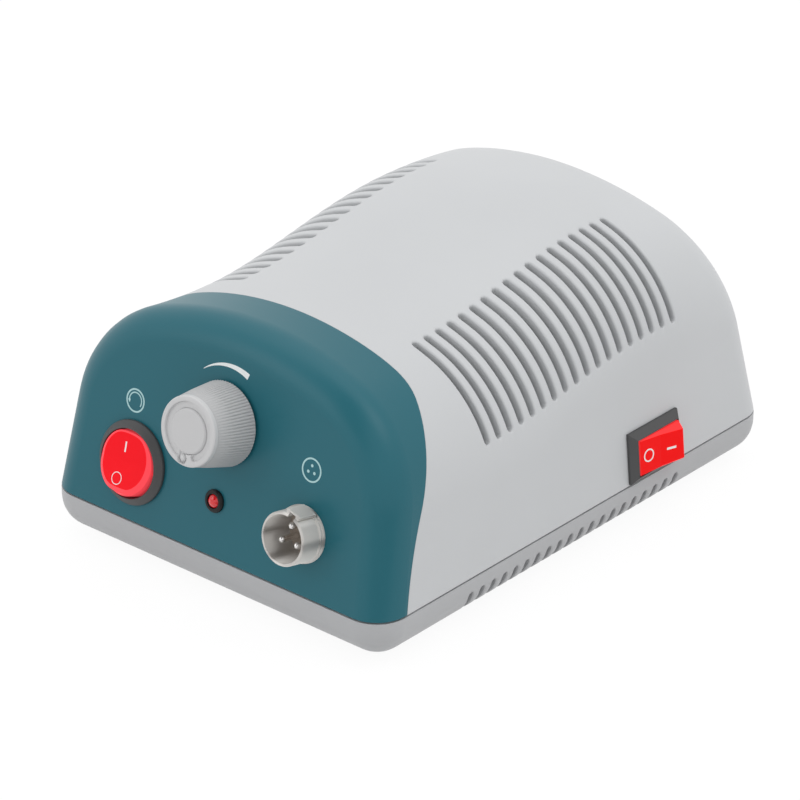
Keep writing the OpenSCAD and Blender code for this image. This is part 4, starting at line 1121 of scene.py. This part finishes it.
def groove_walls(a):
    """Inner and outer radius of the hollow at the angle a from the pointer. They
    meet where there is none: between the dot's recess and the groove's round end."""
    inner, outer = (cap_r, groove_r) if a >= groove_end else (groove_mid, groove_mid)
    if groove_break < a < groove_end:
        half = math.sqrt(max(groove_half ** 2 - (groove_mid * math.sin(groove_end - a)) ** 2, 0))
        inner, outer = groove_mid - half, groove_mid + half
    off = min(a, 2 * math.pi - a)
    if abs(dot_at * math.sin(off)) < recess_round and off < 1:
        half = math.sqrt(recess_round ** 2 - (dot_at * math.sin(off)) ** 2)
        at_dot = dot_at * math.cos(off)
        inner, outer = min(inner, at_dot - half), max(outer if a > 1 else 0, at_dot + half)
    return max(inner, cap_r), outer


def knob_face(turns=240):
    """The face and rim: a ring with the groove and the dot's recess sunk into it."""
    points = []
    round_rim = arc(rim_round, 0, 90, 6, knob_front_r - rim_round, knob_h - rim_round)
    for k in range(turns):
        a = 2 * math.pi * k / turns
        inner, outer = groove_walls(a)
        at_recess = abs(dot_at * math.sin(a)) < recess_round and math.cos(a) > 0
        depth = (recess_depth if at_recess else groove_depth) if outer - inner > 0.1 else 0.0
        ease = groove_ease if depth else 0.0
        floor = knob_h - depth
        rings = [(knob_front_r + 0.05, knob_h - rim_h - 0.1)] + round_rim + [
            (outer + ease, knob_h), (outer, knob_h - 0.3 * depth), (outer - 0.3 * ease, floor),
            (inner + 0.3 * ease, floor)]
        if depth and inner <= cap_r:
            rings[-1] = (cap_r + 0.1, floor)
            rings += [(cap_r, floor), (cap_r - 0.05, floor), (cap_r - 0.1, floor)]
        else:
            rings += [(inner, knob_h - 0.3 * depth), (inner - ease, knob_h),
                      (cap_r - cap_play, knob_h - 0.05)]
        rings.append((cap_r - cap_play, knob_h - cap_sunk))
        points += [(r * math.cos(pointer_at + a), r * math.sin(pointer_at + a), z) for r, z in rings]
    n = len(points) // turns
    corners = [(k * n + j, (k + 1) % turns * n + j) for k in range(turns) for j in range(n - 1)]
    return points, [(a, b, b + 1, a + 1) for a, b in corners]


rib_foot, core_in, core_low, core_top = knob_r - rib_h, 6.0, 5.2, knob_h - rim_h + 0.05
core = lathe([(8, knob_gap - 0.1), (rib_foot, knob_gap), (rib_foot * taper, core_top),
              (core_in, core_top), (core_in, core_low), (8, core_low)], loop=True, turns=160)
fitted(piece("knob_grip", core, knob_frame, knob_finish), "knob", "knob_grey", "speed_knob", sharp_from=45)
dot_low = knob_h - recess_depth - 0.1
dome = [(dot_r * x, knob_h - dome_h + dome_h * z) for x, z in arc(1, 0, 90, 6)[:-1]]
dot = lathe([(0, dot_low), (dot_r, dot_low)] + dome + [(0, knob_h)], turns=32)
knob_front = together(knob_face(), moved(dot, Matrix.Rotation(pointer_at, 4, "Z") @ at(dot_at, 0)))
# The face's paler grey is a painted highlight, lighter than the grip's grey.
fitted(piece("knob_front_ring", knob_front, knob_frame, moulded("knob_face_grey", (208, 208, 209), 0.4)),
       "knob", "knob_grey", sharp_from=45)

# One rib from the foot of the grip to its rim, where it fades; each level has a
# height, a scale for the taper, and the share of the rib's own height.
rib_section = [(-0.5, -0.5), (0.5, -0.5), (0.5, 0.0), (0.3, 0.55), (0.12, 0.95),
               (-0.12, 0.95), (-0.3, 0.55), (-0.5, 0.0)]
rib_half = 2 * math.pi / knob_ribs
rib_rings = []
rib_levels = [(knob_gap, 1.0, 0.0), (knob_gap + 0.25, 0.995, 1.0), (0.55 * knob_h, (1 + taper) / 2, 0.7),
              (0.8 * knob_h, 1 + (taper - 1) * 0.8, 0.3), (knob_h - rim_h - 0.3, taper, 0.2),
              (knob_h - rim_h, taper, 0.05)]
for z, scale, rise in rib_levels:
    out = [(x, (rib_foot + rib_h * rise * max(y, 0) + min(y, 0)) * scale) for x, y in rib_section]
    rib_rings.append([(r * math.cos(rib_half * x), r * math.sin(rib_half * x), z) for x, r in out])
rib = piece("rib", loft(rib_rings, flip=True), unmoved)
ribs = copies("knob_ribs", rib, knob_frame, "ring",
              {"Count": knob_ribs, "Radius": 0.0, "Start": 0.0}, knob_finish)
fitted(ribs, "knob", "knob_grey", sharp_from=60)

cap_out = cap_r - 0.17
cap_profile = [(0, knob_h - cap_sunk), (cap_out, knob_h - cap_sunk), (cap_out, knob_h - 0.5),
               (6.0, knob_h - 0.28), (5.85, knob_h - 0.12), (5.7, knob_h - 0.03), (5.5, knob_h), (0, knob_h)]
cap = piece("knob_cap_disc", lathe(cap_profile, turns=96), knob_frame,
            moulded("cap_grey", (204, 204, 205), 0.45))
fitted(cap, "knob", "cap_grey", "knob_cap")


# Panel prints
# Screen-printed in two inks: in white a wedge that widens with the speed, and in
# pale blue an arrow in a ring over the round switch and a socket's face in a ring.
wedge_r, wedge_steps, wedge_from, wedge_to = 15.4, 32, 0.15, 1.7
wedge_widths = [wedge_from + (wedge_to - wedge_from) * k / wedge_steps for k in range(wedge_steps + 1)]
wedge = piece("speed_wedge", ribbon(arc(wedge_r, 129, 68, wedge_steps), wedge_widths), knob_frame,
              moulded("ink_white", (240, 245, 245), 0.5))
fitted(wedge, "housing", "cap_grey")
icon_ring = print_ring(3.3, 0.46)
pale_ink = moulded("ink_pale", (176, 214, 216), 0.5)
bend_r, stroke, arrow_head = 2.2, 0.36, [0.8, 0.5, 0.12]
turn_arrow = ribbon(arc(bend_r, -32, 207, 24), [stroke] * 22 + arrow_head)
arrow_icon = piece("turn_icon", together(icon_ring, turn_arrow), on_panel(-31.85, 33.05), pale_ink)
fitted(arrow_icon, "housing", "cap_grey")
dots = [moved(rod(0.42, print_low, print_high, turns=24), at(x, y)) for x, y in arc(1.2, 90, 330, 2)]
socket_icon = piece("socket_icon", together(icon_ring, *dots), on_panel(30.6, 34.0), pale_ink)
fitted(socket_icon, "housing", "cap_grey")


# Mains inlet and fuse
# On the rear end: a black flanged inlet with three flat pins, and a fuse holder
# with a slotted cap, held by a nut inside.
inlet_finish = moulded("inlet_black", (38, 38, 40), 0.45, grain=0.1)
dressed(inlet_finish, 0.35, "mains_inlet")
dressed(plate, 0.2, "inlet_pins", "fuse_nut", "fuse_link")
fuse_profile = [(0, -26), (6.2, -26), (6.2, 0), (7.6, 0), (7.6, 2), (4.65, 2), (4.65, -24), (0, -24)]
fuse_holder = piece("fuse_tube", lathe(rounded(fuse_profile, 0.3)), on_rear(fuse_x, rear_up), inlet_finish)
fitted(fuse_holder, "housing", "inlet_black", "fuse_holder")
fuse_cap_profile = [(0, -6), (4.6, -6), (4.6, 2), (6.2, 2), (6.2, 7), (0, 7)]
fuse_cap = bored(piece("fuse_cap_turned", lathe(rounded(fuse_cap_profile, 0.5)), unmoved, inlet_finish),
                 (box(9.9, 1.2, 5.5, 8), unmoved))
fuse_cap.data.transform(on_rear(fuse_x, rear_up))
fitted(fuse_cap, "housing", "inlet_black", "fuse_cap")
